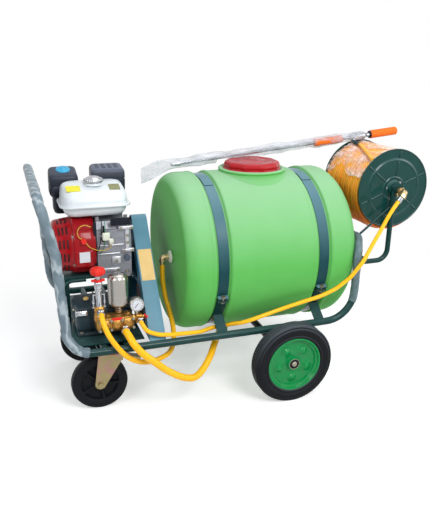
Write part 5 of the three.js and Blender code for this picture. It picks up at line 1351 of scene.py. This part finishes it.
# %% Regulator
def knob_lobes(radius, turn, along):
    """Eight hollows round the knob's edge for the fingers."""
    return radius - 2.2 * smooth((radius - 17) / 6) * np.abs(np.cos(4 * turn)) ** 3, along


foot = turned([[0, 380.3], [17, 380.3], [17, 383], [14.5, 385], [14.5, 388], [17, 390], [17, 404], [14, 408],
               [0, 408]], "z", REGULATOR, 36)
piece("regulator_foot", foot, brass, sharp=45)
barrel = turned([[0, 408], [12.4, 408.4], [12.4, 410], [11, 411], [11, 462], [12.4, 464], [12.4, 467],
                 [11.4, 469], [13.8, 472], [13.8, 492], [12, 494.4], [8, 494.8], [8, 514.7], [0, 514.7]], "z",
                REGULATOR, 36)
arms = []
for side in (-1, 1):
    post = [REGULATOR[0] + side * 18, -228, 0]
    x = REGULATOR[0] + side * 13
    arms += bars("z", post, (403, 452, 2.6, 12))
    arms.append(soft_box([x - 7, -230, 447], [x + 7, -226, 450], 1, 2))
    arms += bars("z", post, *[(z, z + high, 5, 6) for z, high in ((403, 4), (419, 5), (427, 3))])
spigot = bars("y", [-671, 0, 392], (-236, SPIGOT_Y, 8, 20), (-240, -249, 12, 6))
piece("regulator_barrel", [barrel, *spigot, *arms], chrome, "pressure_regulator", sharp=45)
knob = turned([[0, 515], [11, 515], [13, 517], [17, 519], [22, 521], [25, 525], [26, 530], [25.4, 535],
               [23, 539.5], [18, 542.6], [12, 544], [9, 543.4], [7, 544.4], [0, 545]], "z", REGULATOR, 96,
              shift=knob_lobes)
piece("pressure_knob_head", knob, red_plastic, "regulator_knob", "pressure_knob", sharp=60)

# %% Crankcase
case = soft_box([-744, -181, 292], [-572, -31, 382], 17, 5)
feet = soft_box([-740, -196, 285.1], [-576, -16, 297], 3, 3)
ribs = [soft_box([x, -184, 300], [x + 5, -28, 385], 2.4, 3) for x in (-700, -668, -636, -604)]
housings = [turned([[0, -196], [20, -196], [22, -193], [22, -178], [0, -178]], "y", [x, 0, 342], 36)
            for x in PLUNGERS]
end_cover = turned([[0, -748], [30, -748], [33, -745], [36, -744], [36, -738], [0, -738]], "x",
                   [0, -106, 340], 40)
boss = turned([[0, -574], [30, -574], [30, -566], [24, -563], [24, -520], [0, -520]], "x", [0, -85, 345], 40)
filler = turned([[0, 380], [12, 380], [12, 388], [0, 388]], "z", [-700, -110, 0], 28)
piece("crankcase_body", [case, feet, *ribs, *housings, end_cover, boss, filler], cast_iron, "pump_crankcase",
      sharp=45)
cover_bolts = [head("x", [0, -106 + 29 * math.cos(a), 340 + 29 * math.sin(a)], -744, -748.4, -749.4, 5, 4)
               for a in np.radians([45, 135, 225, 315])]
foot_bolts = [head("z", [x, y, 0], 296, 301, 302, 7, 5.6) for x in (-728, -588) for y in (-190, -22)]
piece("crankcase_bolts", [*cover_bolts, *foot_bolts], zinc_bolt)
piece("crankcase_plate", [soft_box([-746, -190, 356], [-704, -172, 378], 5, 4),
                          soft_box([-741, -193, 361], [-709, -188, 373], 2, 3)], chrome, sharp=50)
cap = turned([[0, 388], [9.5, 388], [9.5, 393], [8, 395.4], [0, 395.8]], "z", [-700, -110, 0], 24)
piece("filler_cap", cap, blank_label)


# %% Hose clamps
def clamp(x, z, radius, length):
    """A steel band with a raised screw block, round the hose where it leaves a spigot."""
    near = START_Y - 0.3
    band = turned([[radius + 0.2, 0], [radius + 1.6, 0.4], [radius + 1.6, length - 0.4],
                   [radius + 0.2, length]], "y", [x, near - length, z], 32, closed=True)
    block = soft_box([x - 5, near - length, z + radius], [x + 5, near, z + radius + 6], 1.4, 2)
    screw = bars("x", [0, near - length / 2, z + radius + 3.6], (x - 8, x + 8, 2.4, 10))
    return [band, block, *screw]


piece("hose_clamps", [*clamp(-592, 322, 12.7, 9), *clamp(-671, 392, 9.2, 9), *clamp(-539, 349, 7.7, 8)],
      chrome, sharp=50)

# %% [markdown]
# ## Engine deck
# The deck is a folded plate on four legs. Its lip is thin, so the pump behind it shows below.

# %% Engine deck
DECK_LOW, DECK_HIGH = [-775, -58], [-520, 175]
DECK_TOP, LIP_BOTTOM, SHEET, LEG = 454.7, 443.7, 4, 18


def lip(low, high):
    """One folded edge of the deck, between two corners of its plan."""
    return soft_box([*low, LIP_BOTTOM], [*high, DECK_TOP], 1.6, 3)


stay = bent([[-690, -64, 443.6], [-769, -64, 443.6], [-769, -64, 285]], [34])
piece("deck_stay", tube(stay, 6.5, 16), enamel, sharp=60)
(x_low, y_low), (x_high, y_high) = DECK_LOW, DECK_HIGH
sheet = soft_box([x_low, y_low, DECK_TOP - SHEET], [x_high, y_high, DECK_TOP], 1.6, 3)
lips = [lip(DECK_LOW, [x_high, y_low + SHEET]), lip([x_low, y_high - SHEET], DECK_HIGH),
        lip(DECK_LOW, [x_low + SHEET, y_high]), lip([x_high - SHEET, y_low], DECK_HIGH)]
legs = [soft_box([x, y, 285.1], [x + LEG, y + LEG, 451.5], 2.2, 3) for x in (-766, -544) for y in (-55, 154)]
piece("engine_deck_sheet", [sheet, *lips, *legs], enamel, "engine_deck", sharp=50)

# %% Levers and outlet cock
TAP_Y, TAP_Z = -230, 352
points, faces = turned_about_x(soft_box([-520, -4, -4], [-513.6, 38, 4], 2.4, 3), 160, 0, 0)
hub = turned([[0, -519.7], [8.6, -519.7], [8.6, -514.4], [6, -513], [0, -513]], "x", [0, TAP_Y, TAP_Z], 24)
piece("tap_handle", [(points + (0, TAP_Y, TAP_Z), faces), hub], red_plastic, "cock_lever", "delivery_tap", 50)
relief = [turned([[8.8, 495.4], [13, 495.4], [13.4, 497], [13.4, 501], [13, 502.4], [8.8, 502.4]], "z",
                 REGULATOR, 36, closed=True),
          soft_box([-693.5, -233.5, 495.4], [-682, -222.5, 502.4], 2.4, 3),
          soft_box([-660, -233.5, 495.4], [-648.5, -222.5, 502.4], 2.4, 3)]
piece("relief_lever_arm", relief, red_plastic, "regulator_lever", "relief_lever", 50)
cock = [soft_box([-552, -243, 333.4], [-526, -217, 364.8], 5, 4),
        *bars("y", [-539, 0, 349], (-238, SPIGOT_Y, 6.5, 20), (-241, -248, 10, 6)),
        *bars("x", [0, TAP_Y, TAP_Z], (-528, -520, 6, 20))]
piece("outlet_cock_body", cock, brass, "outlet_cock", sharp=45)

# %% Gauge
GAUGE_X, GAUGE_Y, GAUGE_Z = GAUGE = [-545, -230, 402]
case = turned([[0, 12], [20, 12], [23, 10], [24.6, 6], [24.6, -12], [23.6, -14], [21.5, -14], [21.5, -11.5],
               [0, -11.5]], "y", GAUGE, 48)
piece("gauge_case", [case, *bars("z", GAUGE, (365.3, 382, 6, 16))], stainless, "pressure_gauge")
face = turned([[0, -11.4], [21.4, -11.4], [21.4, -11.9], [0, -11.9]], "y", GAUGE, 40)
piece("gauge_face", face, white_label)
ticks = []
for k in range(11):
    a = math.radians(225 - 27 * k)
    c, s = math.cos(a), math.sin(a)
    inner, outer = ([GAUGE_X + r * c, GAUGE_Y - 12.1, GAUGE_Z + r * s] for r in (15, 19))
    ticks.append(rod(inner, outer, 0.7, 6))
needle = rod([GAUGE_X + 4, GAUGE_Y - 12.4, GAUGE_Z + 5], [GAUGE_X - 8, GAUGE_Y - 12.4, GAUGE_Z - 11], 0.8, 6)
piece("gauge_ticks", [*ticks, needle], black_plastic)

# %% [markdown]
# ## Paint for the solids that stay
# The CAD solids whose shape is right keep it, and only get their finish.

# %% Paint the CAD solids
PAINT = {
    "axle_beam": black_enamel, "caster_beam": enamel, "near_caster_fork": zinc, "far_caster_fork": zinc,
    "near_caster_brake": zinc, "far_caster_brake": zinc, "engine_end_saddle": enamel,
    "reel_end_saddle": enamel, "pump_shelf": enamel, "engine_block": cast_aluminium,
    "cylinder_head": cast_aluminium, "recoil_grip": black_plastic, "engine_switch": red_plastic,
    "throttle_lever": black_enamel, "oil_cap": grey_plastic, "engine_pulley": cast_iron,
    "pump_pulley": maroon_iron, "drive_belt": belt_rubber,
}
for node, finish in PAINT.items():
    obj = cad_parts[node]
    obj.data.materials.clear()
    obj.data.materials.append(finish)
print("painted", len(PAINT), "solids")
